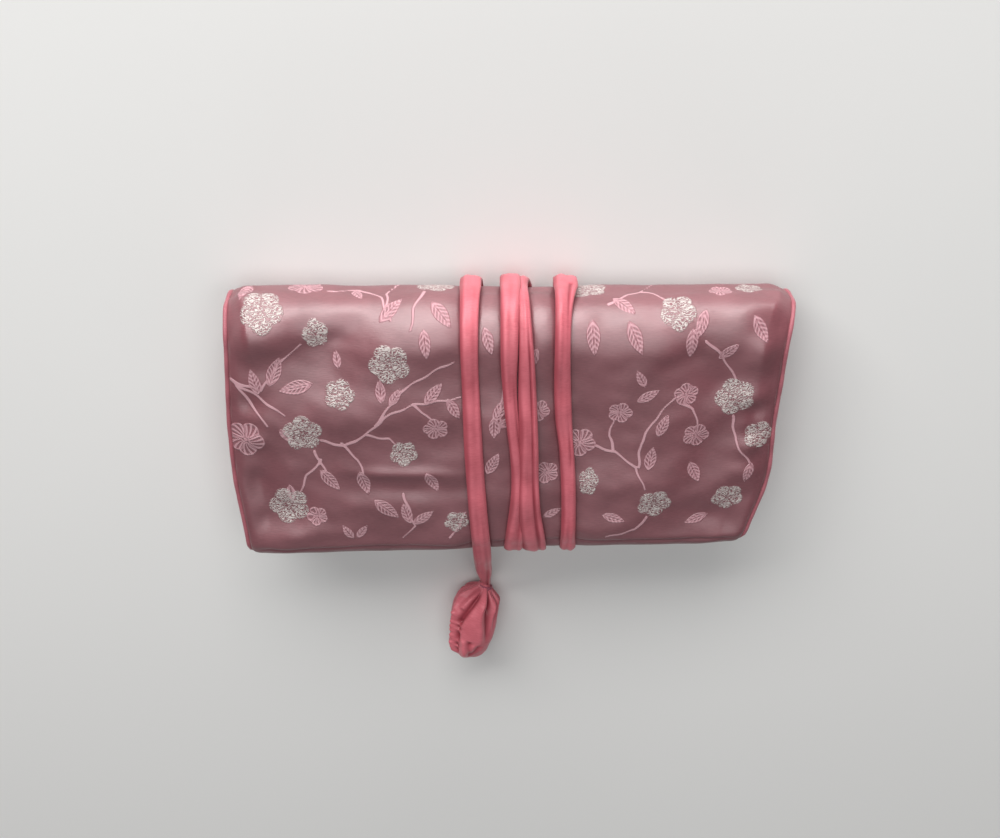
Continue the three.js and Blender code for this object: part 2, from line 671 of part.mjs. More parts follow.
/** The snap: a ringed socket on the back's lining, the stud under the bar's tab and the cap over it. */
function snap() {
  const rim = SNAP_DIAMETER / 2;
  const well = SNAP_POST / 2 + SEAM;
  const nub = SNAP_HEIGHT - SEAM;
  const post = SNAP_POST / 2;
  const crown = [rim - SNAP_EDGE, SNAP_HEIGHT];
  const socket = [[well, 0], [rim, 0], [rim, SNAP_FLANGE], crown, [well, SNAP_HEIGHT], [well, 0]];
  const stud = [[0, -nub], [post, -nub], [post, 0], [rim, 0], [rim, SNAP_FLANGE], [0, SNAP_FLANGE]];
  const cap = [[0, 0], [rim, 0], [rim, SNAP_FLANGE], crown, [0, SNAP_HEIGHT]];
  const parts = [
    ['snap_socket', socket, SOCKET_LOW],
    ['snap_stud', stud, STUD_LOW],
    ['snap_cap', cap, TAB_TOP + SEAM],
  ];
  return parts.map(([name, outline, height]) => {
    const geometry = turned(outline, ROUND_SIDES);
    geometry.rotateX(Math.PI / 2);
    const mesh = piece(name, geometry, FINISH.metal);
    mesh.position.set(SNAP_X, BAR_Y, height);
    return mesh;
  });
}

const roll = new THREE.Group();
roll.add(
  ...panel('back', OUTLINE.back, { wadding: BACK_WADDING }),
  ...sidePiping('back', OUTLINE.back, BACK_WALL),
  ...panel('top_fold', OUTLINE.top, { liftEnd: TOP_RADIUS }),
  ...sidePiping('top_fold', OUTLINE.top, WALL),
  ...panel('flap', OUTLINE.flap, { corner: HEM_CORNER }),
  roundPiping('flap', OUTLINE.flap, HEM_CORNER),
  ...panel('foot_fold', OUTLINE.foot, { liftEnd: FOOT_RADIUS }),
  ...sidePiping('foot_fold', OUTLINE.foot, WALL),
  ...panel('lip', OUTLINE.lip, { corner: HEM_CORNER }),
  roundPiping('lip', OUTLINE.lip, HEM_CORNER),
  tieWraps(),
  ...tieEnd(),
  backPocket(),
  flapPocket(),
  lipPocket(),
  ringBar(),
  ...snap(),
);

export default roll;
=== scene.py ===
"""A padded brocade jewelry roll, wound with a satin tie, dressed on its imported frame.

Lengths are in millimetres unless a line says otherwise. X runs along the roll, v along the folded cloth from
the inner lip round the foot, the back and the top fold to the flap's hem, and w is v counted from the middle
line of the top fold on.
"""
import logging
import math
from dataclasses import dataclass, field
from enum import Enum
from typing import Callable, Sequence

import bmesh
import bpy
import numpy as np
from mathutils import Matrix, Vector


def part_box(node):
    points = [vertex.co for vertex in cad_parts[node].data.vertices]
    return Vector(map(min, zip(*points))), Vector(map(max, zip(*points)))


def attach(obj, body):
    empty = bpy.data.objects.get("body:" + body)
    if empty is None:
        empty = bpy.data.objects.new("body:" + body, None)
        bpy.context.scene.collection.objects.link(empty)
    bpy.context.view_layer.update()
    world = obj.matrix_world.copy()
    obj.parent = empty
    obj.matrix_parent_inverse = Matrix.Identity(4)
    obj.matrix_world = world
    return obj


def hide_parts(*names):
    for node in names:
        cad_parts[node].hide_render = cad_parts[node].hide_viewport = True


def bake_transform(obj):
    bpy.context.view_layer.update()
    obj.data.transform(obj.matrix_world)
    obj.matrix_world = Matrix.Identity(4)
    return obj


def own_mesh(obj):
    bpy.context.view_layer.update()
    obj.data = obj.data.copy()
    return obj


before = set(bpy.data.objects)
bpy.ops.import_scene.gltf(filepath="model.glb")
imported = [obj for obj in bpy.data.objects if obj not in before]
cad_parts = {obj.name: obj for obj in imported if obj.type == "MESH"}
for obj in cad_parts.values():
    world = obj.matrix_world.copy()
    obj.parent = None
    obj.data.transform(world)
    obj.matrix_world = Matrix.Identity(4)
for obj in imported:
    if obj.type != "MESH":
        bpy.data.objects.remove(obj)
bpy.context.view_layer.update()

LOG = logging.getLogger("jewelry_roll")
MM = 0.001
FULL_TURN = 2 * math.pi
Array = np.ndarray
Colour = tuple[float, float, float]
Object = bpy.types.Object
Material = bpy.types.Material
Socket = bpy.types.NodeSocket


def smooth(value: Array, low: float, high: float) -> Array:
    """Rises softly from 0 at low to 1 at high."""
    t = np.clip((np.asarray(value, float) - low) / (high - low), 0, 1)
    return t * t * (3 - 2 * t)


def between(value: Array, low: float, high: float, soft: float) -> Array:
    """A share of 1 between two places, which fades softly at both."""
    return smooth(value, low - soft, low + soft) * (1 - smooth(value, high - soft, high + soft))


def bump(value: Array, centre: float, reach: float) -> Array:
    """A bell of height 1 about a centre, which falls off over a reach."""
    return np.exp(-(((np.asarray(value, float) - centre) / reach) ** 2))


def waves(at: Array, *terms: tuple[float, float, float]) -> Array:
    """Adds up sine waves, each given by its height, pace and phase."""
    return sum(height * np.sin(pace * at + phase) for height, pace, phase in terms)


def flow(at: Array, steps: Sequence[float], values: Sequence[float], soft: float = 6.0) -> Array:
    """Reads a soft line through a few values.

    Args:
        at: where to read it.
        steps: where the values stand.
        values: the values.
        soft: how far the corners of the line are rounded.

    Returns:
        A number for each place.
    """
    pace = 0.5
    count = int(soft / pace)
    fine = np.arange(steps[0] - 2 * soft, steps[-1] + 2 * soft, pace)
    line = np.pad(np.interp(fine, steps, values), count, mode="edge")
    line = np.convolve(line, np.ones(2 * count + 1) / (2 * count + 1), "valid")
    return np.interp(at, fine, line)


def unit(vectors: Array) -> Array:
    """The same directions at a length of 1."""
    return vectors / np.linalg.norm(vectors, axis=-1, keepdims=True)


def turn_to(angle: Array, middle: Array) -> Array:
    """The shorter turn from a middle to each angle, in radians."""
    return np.angle(np.exp(1j * (angle - middle)))


def run_of(route: Array) -> Array:
    """Distance run along a route at each of its points."""
    return np.concatenate([[0], np.cumsum(np.linalg.norm(np.diff(route, axis=0), axis=1))])


def box_of(node: str) -> tuple[Array, Array]:
    """Low and high corner of a node's box in the frame."""
    low, high = (np.array(corner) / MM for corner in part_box(node))
    return low, high


def put(name: str, data: bpy.types.ID) -> Object:
    """Puts a mesh, a lamp or a camera into the scene.

    Args:
        name: the object's name.
        data: what it shows.

    Returns:
        The object.
    """
    thing = bpy.data.objects.new(name, data)
    bpy.context.scene.collection.objects.link(thing)
    return thing


@dataclass(frozen=True)
class Bell:
    """A bell-shaped rise: its height, where its top is and how far it reaches."""
    height: float
    centre: float
    reach: float

    def at(self, value: Array) -> Array:
        """Heights at some places."""
        return self.height * bump(value, self.centre, self.reach)


@dataclass(frozen=True)
class Ripple:
    """Soft unevenness of cloth: a few crossing waves, the same ones each time.

    Attributes:
        height: about how high they are.
        length: their mean length.
        seed: picks them.
        x_share: how much of a step across the cloth counts.
        v_share: how much of a step along the cloth counts.
    """
    height: float
    length: float
    seed: int
    x_share: float = 1.0
    v_share: float = 1.0
    count: int = 7
    spread: tuple[float, float] = (0.7, 1.5)

    def at(self, x: Array, v: Array) -> Array:
        """Heights at places across and along the cloth.

        Args:
            x: places across it.
            v: places along it.

        Returns:
            The heights.
        """
        rng = np.random.default_rng(self.seed)
        total = np.zeros(np.broadcast(x, v).shape)
        for _ in range(self.count):
            angle = rng.uniform(0, math.pi)
            pace = FULL_TURN / (self.length * rng.uniform(*self.spread))
            phase = rng.uniform(0, FULL_TURN)
            run = x * self.x_share * math.cos(angle) + v * self.v_share * math.sin(angle)
            total = total + np.sin(pace * run + phase)
        return self.height * (total / math.sqrt(self.count))


class Meshes:
    """Makes mesh objects from points."""
    sharp = math.radians(55)
    back_skip = 4

    @staticmethod
    def link(name: str, points: Array, faces: Sequence[Sequence[int]], places: Array) -> Object:
        """Adds one smooth mesh with its faces turned outwards and a map of the cloth.

        Args:
            name: the piece's name.
            points: its corners.
            faces: corner numbers of each face.
            places: place of each corner on the flat cloth, which the UV map holds in metres.

        Returns:
            The new object.
        """
        mesh = bpy.data.meshes.new(name)
        mesh.from_pydata((np.asarray(points, float) * MM).tolist(), [], list(faces))
        work = bmesh.new()
        work.from_mesh(mesh)
        bmesh.ops.recalc_face_normals(work, faces=work.faces)
        work.to_mesh(mesh)
        work.free()
        mesh.polygons.foreach_set("use_smooth", [True] * len(mesh.polygons))
        mesh.set_sharp_from_angle(angle=Meshes.sharp)
        corners = np.zeros(len(mesh.loops), np.int32)
        mesh.loops.foreach_get("vertex_index", corners)
        layer = mesh.uv_layers.new(name="Cloth")
        layer.data.foreach_set("uv", (places[corners] * MM).astype(np.float32).ravel())
        return put(name, mesh)

    @staticmethod
    def paint(piece: Object, name: str, values: Array) -> None:
        """Stores one number for each corner under a name that a material reads."""
        store = piece.data.attributes.new(name, "FLOAT", "POINT")
        store.data.foreach_set("value", np.asarray(values, np.float32))

    @staticmethod
    def quads(number: Array) -> Array:
        """Faces of a grid of numbered points."""
        corners = number[:-1, :-1], number[:-1, 1:], number[1:, 1:], number[1:, :-1]
        return np.stack(corners, -1).reshape(-1, 4)

    @staticmethod
    def steps(length: float, step: float) -> int:
        """How many fine steps fill a length, as a whole number of steps of a sheet's back."""
        return Meshes.back_skip * max(1, round(length / step / Meshes.back_skip))

    @staticmethod
    def sheet(name: str, front: Array, out: Array, thick: float, places: Array,
              fields: dict[str, Array] | None = None) -> Object:
        """A closed sheet of cloth: a fine face, a plainer back and a rim between them.

        Args:
            name: the piece's name.
            front: rows of points of the fine face.
            out: outward directions of those points.
            thick: the cloth's thickness.
            places: place of each point on the flat cloth.
            fields: numbers for each point, by name.

        Returns:
            The new object.
        """
        rows, columns = front.shape[:2]
        skip = Meshes.back_skip
        number = np.arange(rows * columns).reshape(rows, columns)
        coarse_rows = np.ix_(np.arange(0, rows, skip), np.arange(0, columns, skip))
        behind = number[coarse_rows]
        below = (front - out * thick)[coarse_rows]
        back = rows * columns + np.arange(behind.size).reshape(behind.shape)
        faces = Meshes.quads(number).tolist() + Meshes.quads(back)[:, ::-1].tolist()
        edges = ((number[0], back[0]), (number[-1], back[-1]),
                 (number[:, 0], back[:, 0]), (number[:, -1], back[:, -1]))
        for fine, coarse in edges:
            for j in range(len(coarse) - 1):
                strip = fine[j * skip:(j + 1) * skip + 1].tolist()
                faces.append(strip + [int(coarse[j + 1]), int(coarse[j])])
        points = np.vstack([front.reshape(-1, 3), below.reshape(-1, 3)])
        pick = np.concatenate([number.ravel(), behind.ravel()])
        piece = Meshes.link(name, points, faces, places.reshape(-1, 2)[pick])
        for key, values in (fields or {}).items():
            Meshes.paint(piece, key, values.ravel()[pick])
        return piece

    @staticmethod
    def rings(name: str, bodies: Sequence[tuple[Array, Array]]) -> Object:
        """Joins closed rings of points into capped bodies, in one mesh.

        Args:
            name: the piece's name.
            bodies: rings of each body, as an array of ring, place round it and coordinate, with the place of
                each point on the flat cloth.

        Returns:
            The new object.
        """
        points, faces, places = [], [], []
        first = 0
        for rings, flat in bodies:
            number = first + np.arange(rings.shape[0] * rings.shape[1]).reshape(rings.shape[:2])
            after = np.roll(number, -1, axis=1)
            sides = np.stack([number[:-1], after[:-1], after[1:], number[1:]], -1).reshape(-1, 4)
            faces += sides.tolist() + [number[0][::-1].tolist(), number[-1].tolist()]
            points.append(rings.reshape(-1, 3))
            places.append(flat.reshape(-1, 2))
            first += number.size
        return Meshes.link(name, np.vstack(points), faces, np.vstack(places))

    @staticmethod
    def tubes(name: str, routes: Sequence[Array], radius: float, sides: int = 10) -> Object:
        """Round tubes along routes, in one mesh that is mapped by girth and length.

        Args:
            name: the piece's name.
            routes: points of each route.
            radius: half the thickness.
            sides: points round each ring.

        Returns:
            The new object.
        """
        girth = np.linspace(0, FULL_TURN * radius, sides)
        return Meshes.rings(name, [
            (Meshes.tube_rings(route, radius, sides), np.stack(np.meshgrid(girth, run_of(route)), -1))
            for route in routes
        ])

    @staticmethod
    def tube_rings(route: Array, radius: float, sides: int) -> Array:
        """Rings of a round tube, carried along its route without twist.

        Args:
            route: points of the route.
            radius: half the thickness.
            sides: points round each ring.

        Returns:
            An array of ring, place round it and coordinate.
        """
        ahead = unit(np.gradient(route, axis=0))
        steep = 0.8
        side = np.array([0.0, 0.0, 1.0]) if abs(ahead[0][2]) < steep else np.array([1.0, 0.0, 0.0])
        angles = np.linspace(0, FULL_TURN, sides, endpoint=False)
        rings = []
        for point, along in zip(route, ahead):
            side = unit(side - along * side.dot(along))
            up = np.cross(along, side)
            rings.append(point + radius * (np.outer(np.cos(angles), side) + np.outer(np.sin(angles), up)))
        return np.array(rings)


@dataclass(frozen=True)
class Stretch:
    """A straight or round stretch of an outline, in the plane across the roll.

    A round stretch has a radius and turns about its centre from one angle to another, in degrees.
    """
    y: float
    z: float
    end_y: float = 0.0
    end_z: float = 0.0
    normal: tuple[float, float] = (0.0, 0.0)
    radius: float = 0.0
    angles: tuple[float, float] = (0.0, 0.0)

    @property
    def length(self) -> float:
        """Measures along the stretch.

        Returns:
            Its length.
        """
        if self.radius:
            return abs(math.radians(self.angles[1] - self.angles[0])) * self.radius
        return math.hypot(self.end_y - self.y, self.end_z - self.z)

    def at(self, share: Array) -> tuple[Array, Array, Array, Array]:
        """Place and outward direction at shares of the length.

        Args:
            share: shares from 0 to 1.

        Returns:
            y, z and the two parts of the outward direction.
        """
        if self.radius:
            angle = np.radians(self.angles[0] + (self.angles[1] - self.angles[0]) * share)
            ny, nz = np.cos(angle), np.sin(angle)
            return self.y + self.radius * ny, self.z + self.radius * nz, ny, nz
        flat = np.ones_like(share)
        y = self.y + (self.end_y - self.y) * share
        z = self.z + (self.end_z - self.z) * share
        return y, z, flat * self.normal[0], flat * self.normal[1]


class Outline:
    """A chain of stretches, read by distance along it."""

    def __init__(self, stretches: Sequence[Stretch]) -> None:
        """Keeps the stretches and where each of them starts."""
        self.stretches = list(stretches)
        self.starts = np.concatenate([[0], np.cumsum([s.length for s in self.stretches])])

    @property
    def length(self) -> float:
        """Length of the whole chain."""
        return float(self.starts[-1])

    def at(self, v: Array) -> tuple[Array, Array, Array, Array]:
        """Place and outward direction at distances along the chain.

        Args:
            v: the distances.

        Returns:
            y, z and the two parts of the outward direction.
        """
        v = np.asarray(v, float)
        result = [np.zeros_like(v) for _ in range(4)]
        which = np.clip(np.searchsorted(self.starts, v, side="right") - 1, 0, len(self.stretches) - 1)
        for i, stretch in enumerate(self.stretches):
            inside = which == i
            if inside.any():
                values = stretch.at((v[inside] - self.starts[i]) / stretch.length)
                for store, value in zip(result, values):
                    store[inside] = value
        return tuple(result)


def frame_edge(node: str, axis: int, high: bool) -> float:
    """One edge of a node's box in the frame."""
    return float(box_of(node)[high][axis])


@dataclass(frozen=True)
class RollSizes:
    """Sizes of the padded roll, taken from the frame where it holds them."""
    half_width: float = frame_edge("back_cover", 0, True)
    top: float = frame_edge("top_fold_cover", 1, True)
    foot: float = frame_edge("foot_fold_cover", 1, False)
    thickness: float = frame_edge("flap_cover", 2, True)
    lip_end: float = frame_edge("lip_cover", 1, True)
    foot_height: float = frame_edge("foot_fold_cover", 2, True)
    top_radius: float = 14.0
    foot_radius: float = 11.0
    hem_radius: float = 8.0
    hem_corner: float = 7.0
    wall: float = 4.0
    back_wall: float = 6.0
    side_drop: float = 2.2
    level_half: float = 72.0
    channel: tuple[float, float] = (-19.0, 42.0)
    channel_ramp: float = 20.0
    channel_depth: float = 2.6
    channel_fade: tuple[float, float] = (0.8, 5.8)
    piping: float = 1.7
    lead: float = 3.0
    skew: float = 4.0
    taper: float = 5.0
    hem_slope: float = 0.03
    hem_turn: tuple[float, float] = (30.0, 108.0)
    edge_fade: float = 9.0
    cover_spare: float = 0.3
    lining_spare: float = 0.4
    lining_soft: float = 2.9
    lining_proud: float = 0.15
    lining_fade: float = 6.0
    fold_tuck: float = 0.6
    fold_fade: float = 0.5


@dataclass(frozen=True)
class Dent:
    """A soft hollow or swelling of the cover: its middle, reach, depth and turn in degrees."""
    x: float
    w: float
    reach_x: float
    reach_w: float
    depth: float
    turn: float = 0.0

    def height(self, x: Array, w: Array) -> Array:
        """Height of the cloth there, below zero in a hollow.

        Args:
            x: places across the roll.
            w: places along the cloth.

        Returns:
            The heights.
        """
        c, s = math.cos(math.radians(self.turn)), math.sin(math.radians(self.turn))
        across = ((x - self.x) * c + (w - self.w) * s) / self.reach_x
        along = (-(x - self.x) * s + (w - self.w) * c) / self.reach_w
        return -self.depth * np.exp(-(across ** 2) - along ** 2)


DENTS = (
    Dent(-54, 18, 20, 8.5, 4.3, -16), Dent(-62, 31, 21, 10.0, 2.8, -8), Dent(-86, 16, 8, 12, -1.4, 12),
    Dent(-14, 60, 32, 27, -2.0), Dent(-26, 22, 15, 8, -0.8), Dent(60, 56, 26, 24, -1.0),
    Dent(-33, 71, 17, 2.4, -1.2, 2), Dent(-34, 78, 20, 4.0, 1.3, 2), Dent(-60, 46, 17, 9, -1.9, 14),
    Dent(-88, 44, 5, 9, 1.3), Dent(-84, 75, 8, 11, 1.8, 16), Dent(-70, 97, 16, 4.5, -1.4, -6),
    Dent(-77, 88, 13, 5, 1.2, -20), Dent(-20, 58, 10, 8, 0.9), Dent(44, 33, 16, 11, -1.2, 6),
    Dent(62, 26, 15, 7, 1.3, -16), Dent(36, 62, 14, 14, 1.0), Dent(74, 64, 9, 17, 1.6, 14),
    Dent(52, 80, 18, 8, -1.2), Dent(77, 32, 14, 11, 2.2, -8), Dent(87, 33, 5, 12, -1.2),
    Dent(89, 52, 4, 6, 1.1), Dent(76, 93, 12, 4.5, 1.3, 12), Dent(36, 98, 14, 4, -0.9),
)

# How far the settled sides stand out, at steps of w
EDGE_STEPS = (-45, -12, 0, 11, 23, 38, 54, 75, 86, 95, 103, 113)
RIGHT_EDGE = (0.0, 2.8, 5.0, 4.3, 2.8, 2.8, 2.3, 3.3, 1.9, -0.5, -2.4, -3.6)
LEFT_EDGE = (0.0, 0.8, 1.6, 1.0, 0.4, 0.8, 1.2, 0.4, -1.0, -2.4, -3.2, -3.8)

# Unevenness of the cover and of the lining
COVER_RIPPLES = (Ripple(0.55, 48, 3), Ripple(0.24, 19, 8), Ripple(0.07, 8, 12, x_share=0.6))
LINING_RIPPLES = (Ripple(0.12, 13, 21), Ripple(0.07, 6, 22, v_share=0.5))

# Swells of the cover and press of the tie, with the stretches of w over which they come and go
FLAP_START = (-12, 4)
CROWN = 0.7
FOLD_SWELL = Bell(1.0, -3, 9)
SHOULDER = 2.4
SHOULDER_RISE = (-3, 11)
SHOULDER_FALL = (11, 40)
HEM_SINK = 1.3
HEM_SINK_RISE = (60, 112)
PUCKER = 0.45
PUCKER_BAND = (18, 2)
PUCKER_PACE = 0.5
PUCKER_DRIFT = 1.7
PUCKER_DRIFT_PACE = 0.11
HEM_STITCH = 0.55
HEM_STITCH_IN = 9
HEM_STITCH_REACH = 0.9
BACK_SOFT = 8
PRESS_START = (-10, 2)
PRESS_SOFT = 4
PRESS_SHARE = 0.95
PRESS_REACH = 0.85
PRESS_DEPTH = 0.7
PRESS_BELLS = (Bell(0.7, 8, 14), Bell(1.3, 106, 12))


class RollForm:
    """The settled shape of the closed roll: every cloth of it is a depth below one outline."""

    def __init__(self, sizes: RollSizes) -> None:
        """Lays the outline from the inner lip round the foot, the back and the top to the hem.

        Args:
            sizes: the roll's sizes.
        """
        s = self.sizes = sizes
        foot_y, top_y = s.foot + s.foot_radius, s.top - s.top_radius
        hem_y, hem_z = s.foot + s.hem_radius, s.thickness - s.hem_radius
        upper_foot, upper_top = s.foot_height - s.foot_radius, s.thickness - s.top_radius
        self.outline = Outline([
            Stretch(s.lip_end + s.lead, s.foot_height, s.lip_end, s.foot_height, (0, 1)),
            Stretch(s.lip_end, s.foot_height, foot_y, s.foot_height, (0, 1)),
            Stretch(foot_y, upper_foot, radius=s.foot_radius, angles=(90, 180)),
            Stretch(s.foot, upper_foot, s.foot, s.foot_radius, (-1, 0)),
            Stretch(foot_y, s.foot_radius, radius=s.foot_radius, angles=(180, 270)),
            Stretch(foot_y, 0, top_y, 0, (0, -1)),
            Stretch(top_y, s.top_radius, radius=s.top_radius, angles=(-90, 0)),
            Stretch(s.top, s.top_radius, s.top, upper_top, (1, 0)),
            Stretch(top_y, upper_top, radius=s.top_radius, angles=(0, 90)),
            Stretch(top_y, s.thickness, hem_y, s.thickness, (0, 1)),
            Stretch(hem_y, hem_z, radius=s.hem_radius, angles=(90, 180)),
            Stretch(s.foot, hem_z, s.foot, hem_z - s.lead, (-1, 0)),
        ])
        # Places along the cloth, by the number of the stretch in the list above
        starts = self.outline.starts
        self.lip_start = float(starts[1])
        self.foot_middle = float(starts[3] + starts[4]) / 2
        self.back_from, self.back_to = float(starts[5]), float(starts[6])
        self.back_middle = (self.back_from + self.back_to) / 2
        self.top_middle = float(starts[7] + starts[8]) / 2
        self.hem_end = float(starts[11])
        self.hem = self.hem_end - self.top_middle

    def half(self, v: Array, way: Array) -> Array:
        """How far the cloth reaches to one side, -1 or 1, rounded at its free edges.

        Args:
            v: places along the cloth.
            way: the side.

        Returns:
            The distances from the middle.
        """
        corner = self.sizes.hem_corner
        left = np.minimum(np.asarray(v, float) - self.lip_start, self.hem_end - v)
        inset = np.clip(corner - left, 0, corner)
        return self.side(v, way) - corner + np.sqrt(corner ** 2 - inset ** 2)

    def side(self, v: Array, way: Array) -> Array:
        """How far the cloth reaches to one side, -1 or 1, before its corners are rounded.

        Args:
            v: places along the cloth.
            way: the side.

        Returns:
            The distances from the middle.
        """
        w = np.asarray(v, float) - self.top_middle
        right, left = (flow(w, EDGE_STEPS, edge) for edge in (RIGHT_EDGE, LEFT_EDGE))
        narrow = self.sizes.taper * (1 - smooth(v, self.back_from, self.back_to))
        return self.sizes.half_width + np.where(np.asarray(way) > 0, right, left) - narrow

    def lean(self, v: Array) -> Array:
        """How far the loosely folded cloth runs askew towards its hem and its foot."""
        steps = (self.foot_middle, self.back_to, self.top_middle, self.hem_end)
        return -self.sizes.skew * np.interp(v, steps, (1, 0, 0, 1))

    def wall_at(self, v: Array) -> Array:
        """Thickness of the padded wall, which is fuller at the back."""
        s = self.sizes
        return s.wall + (s.back_wall - s.wall) * between(v, self.back_from, self.back_to, s.wall)

    def swell(self, x: Array, v: Array) -> Array:
        """How far the soft cover stands out from its plain outline.

        Args:
            x: places across the roll.
            v: places along the cloth.

        Returns:
            Heights, none on the flat back.
        """
        half = self.sizes.half_width
        w = v - self.top_middle
        on_flap = smooth(w, *FLAP_START)
        height = sum(ripple.at(x, v) for ripple in COVER_RIPPLES)
        for dent in DENTS:
            height = height + on_flap * dent.height(x, w)
        crown = on_flap * CROWN * (1 - (x / half) ** 2) + FOLD_SWELL.at(w)
        crown = crown - HEM_SINK * smooth(w, *HEM_SINK_RISE)
        crown = crown + SHOULDER * smooth(w, *SHOULDER_RISE) * (1 - smooth(w, *SHOULDER_FALL))
        near_edge = smooth(np.abs(x), half - PUCKER_BAND[0], half - PUCKER_BAND[1])
        drift = PUCKER_DRIFT * np.sin(v * PUCKER_DRIFT_PACE)
        pucker = PUCKER * near_edge * np.sin(v * PUCKER_PACE + drift + 2 * np.sign(x))
        pucker = pucker - HEM_STITCH * bump(w, self.hem - HEM_STITCH_IN, HEM_STITCH_REACH)
        return (height + crown + pucker) * (1 - between(v, self.back_from, self.back_to, BACK_SOFT))

    def squeeze(self, x: Array, v: Array) -> Array:
        """How far the tie presses the front in.

        Args:
            x: places across the roll.
            v: places along the cloth.

        Returns:
            Depths, joined softly where strands lie side by side.
        """
        w = v - self.top_middle
        front = smooth(w, *PRESS_START) * (1 - smooth(w, self.hem - PRESS_SOFT, self.hem + PRESS_SOFT))
        free = np.ones(np.broadcast(x, v).shape)
        for strand in STRANDS:
            off = (x + self.lean(v) - strand.place(w)) / strand.reach(w)
            free = free * (1 - PRESS_SHARE * bump(off, 0, PRESS_REACH))
        return (1 - free) * front * sum((bell.at(w) for bell in PRESS_BELLS), PRESS_DEPTH)

    def place(self, x: Array, v: Array, depth: Array) -> tuple[Array, Array]:
        """Points of a cloth at a depth below the settled outer face.

        Args:
            x: places across the roll.
            v: places along the cloth.
            depth: depths below the outer face, negative for outside.

        Returns:
            The points and their outward directions.
        """
        s = self.sizes
        x, v, depth = np.broadcast_arrays(np.asarray(x, float), np.asarray(v, float), depth)
        y, z, ny, nz = self.outline.at(v)
        y = y - ny * depth
        z = z - nz * depth
        low, high = s.channel
        over = smooth(x, low - s.channel_ramp, low) * (1 - smooth(x, high, high + s.channel_ramp))
        z = z + s.channel_depth * over * (1 - smooth(z, *s.channel_fade))
        side = np.clip((np.abs(x) - s.level_half) / (s.half_width - s.level_half), 0, 1)
        z = z - s.side_drop * side ** 2 * smooth(z, s.thickness / 2, s.thickness)
        y = y + s.hem_slope * x * smooth(v - self.top_middle, *s.hem_turn)
        points = np.stack([x + self.lean(v), y, z], -1)
        return points, np.stack([np.zeros_like(ny), ny, nz], -1)

    def pinch(self, v: Array) -> Array:
        """Share of how sharply the sides are folded over at the top."""
        return bump(v - self.top_middle, 0, self.sizes.top_radius)

    def to_edge(self, x: Array, v: Array) -> Array:
        """Distance from each place to the nearest edge of the cloth."""
        ends = np.minimum(v - self.lip_start, self.hem_end - v)
        return np.minimum(self.half(v, np.sign(x)) - np.abs(x), ends)

    def tuck(self, to_edge: Array, wall: Array, spare: float) -> Array:
        """How far a cloth rolls in at the sewn edge of a padded wall, less what is spared there."""
        roll = np.clip(1 - to_edge / self.sizes.wall, 0, 1)
        return (wall / 2 - spare) * (1 - np.sqrt(np.clip(1 - roll ** 2, 0, 1)))

    def cover(self, x: Array, v: Array) -> tuple[Array, Array]:
        """Points on the soft cover, which rolls in at its sewn edges, and their directions.

        Args:
            x: places across the roll.
            v: places along the cloth.

        Returns:
            The points, none below the table, and their outward directions.
        """
        s, to_edge, pinch = self.sizes, self.to_edge(x, v), self.pinch(v)
        tuck = self.tuck(to_edge, self.wall_at(v), s.cover_spare) * (1 - s.fold_tuck * pinch)
        fade = smooth(to_edge / (1 - s.fold_fade * pinch), 0, s.edge_fade)
        points, out = self.place(x, v, tuck - (self.swell(x, v) - self.squeeze(x, v)) * fade)
        points[..., 2] = np.maximum(points[..., 2], 0.0)
        return points, out

    def lining(self, x: Array, v: Array) -> tuple[Array, Array]:
        """Points on the lining's inner face, which deep hollows push in, and their directions.

        Args:
            x: places across the roll.
            v: places along the cloth.

        Returns:
            The points and the directions into the roll.
        """
        s, wall, to_edge = self.sizes, self.wall_at(v), self.to_edge(x, v)
        pushed = np.maximum(self.squeeze(x, v) - self.swell(x, v) - s.lining_soft, 0)
        pushed = pushed * smooth(to_edge, 0, s.edge_fade)
        fine = sum(ripple.at(x, v) for ripple in LINING_RIPPLES) * smooth(to_edge, 0, s.lining_fade)
        depth = wall - self.tuck(to_edge, wall, s.lining_spare) + fine - s.lining_proud + pushed
        points, out = self.place(x, v, depth)
        return points, -out


STRAND_STEPS = (0, 6, 14, 25, 40, 50, 60, 75, 90, 101, 113)


@dataclass(frozen=True)
class Strand:
    """One pass of the tie over the front, given at the strand steps of w.

    Attributes:
        x: its places along X.
        width: its widths.
        lift: how far it lies above the cloth.
        groove: depth of the fold along its right side.
        roll: how far it rolls to the right, in degrees.
    """
    x: tuple[float, ...]
    width: tuple[float, ...]
    lift: tuple[float, ...]
    groove: tuple[float, ...]
    roll: tuple[float, ...]

    def place(self, w: Array) -> Array:
        """Place along X."""
        return flow(w, STRAND_STEPS, self.x)

    def reach(self, w: Array) -> Array:
        """Width of the strand."""
        return flow(w, STRAND_STEPS, self.width, 3.0)


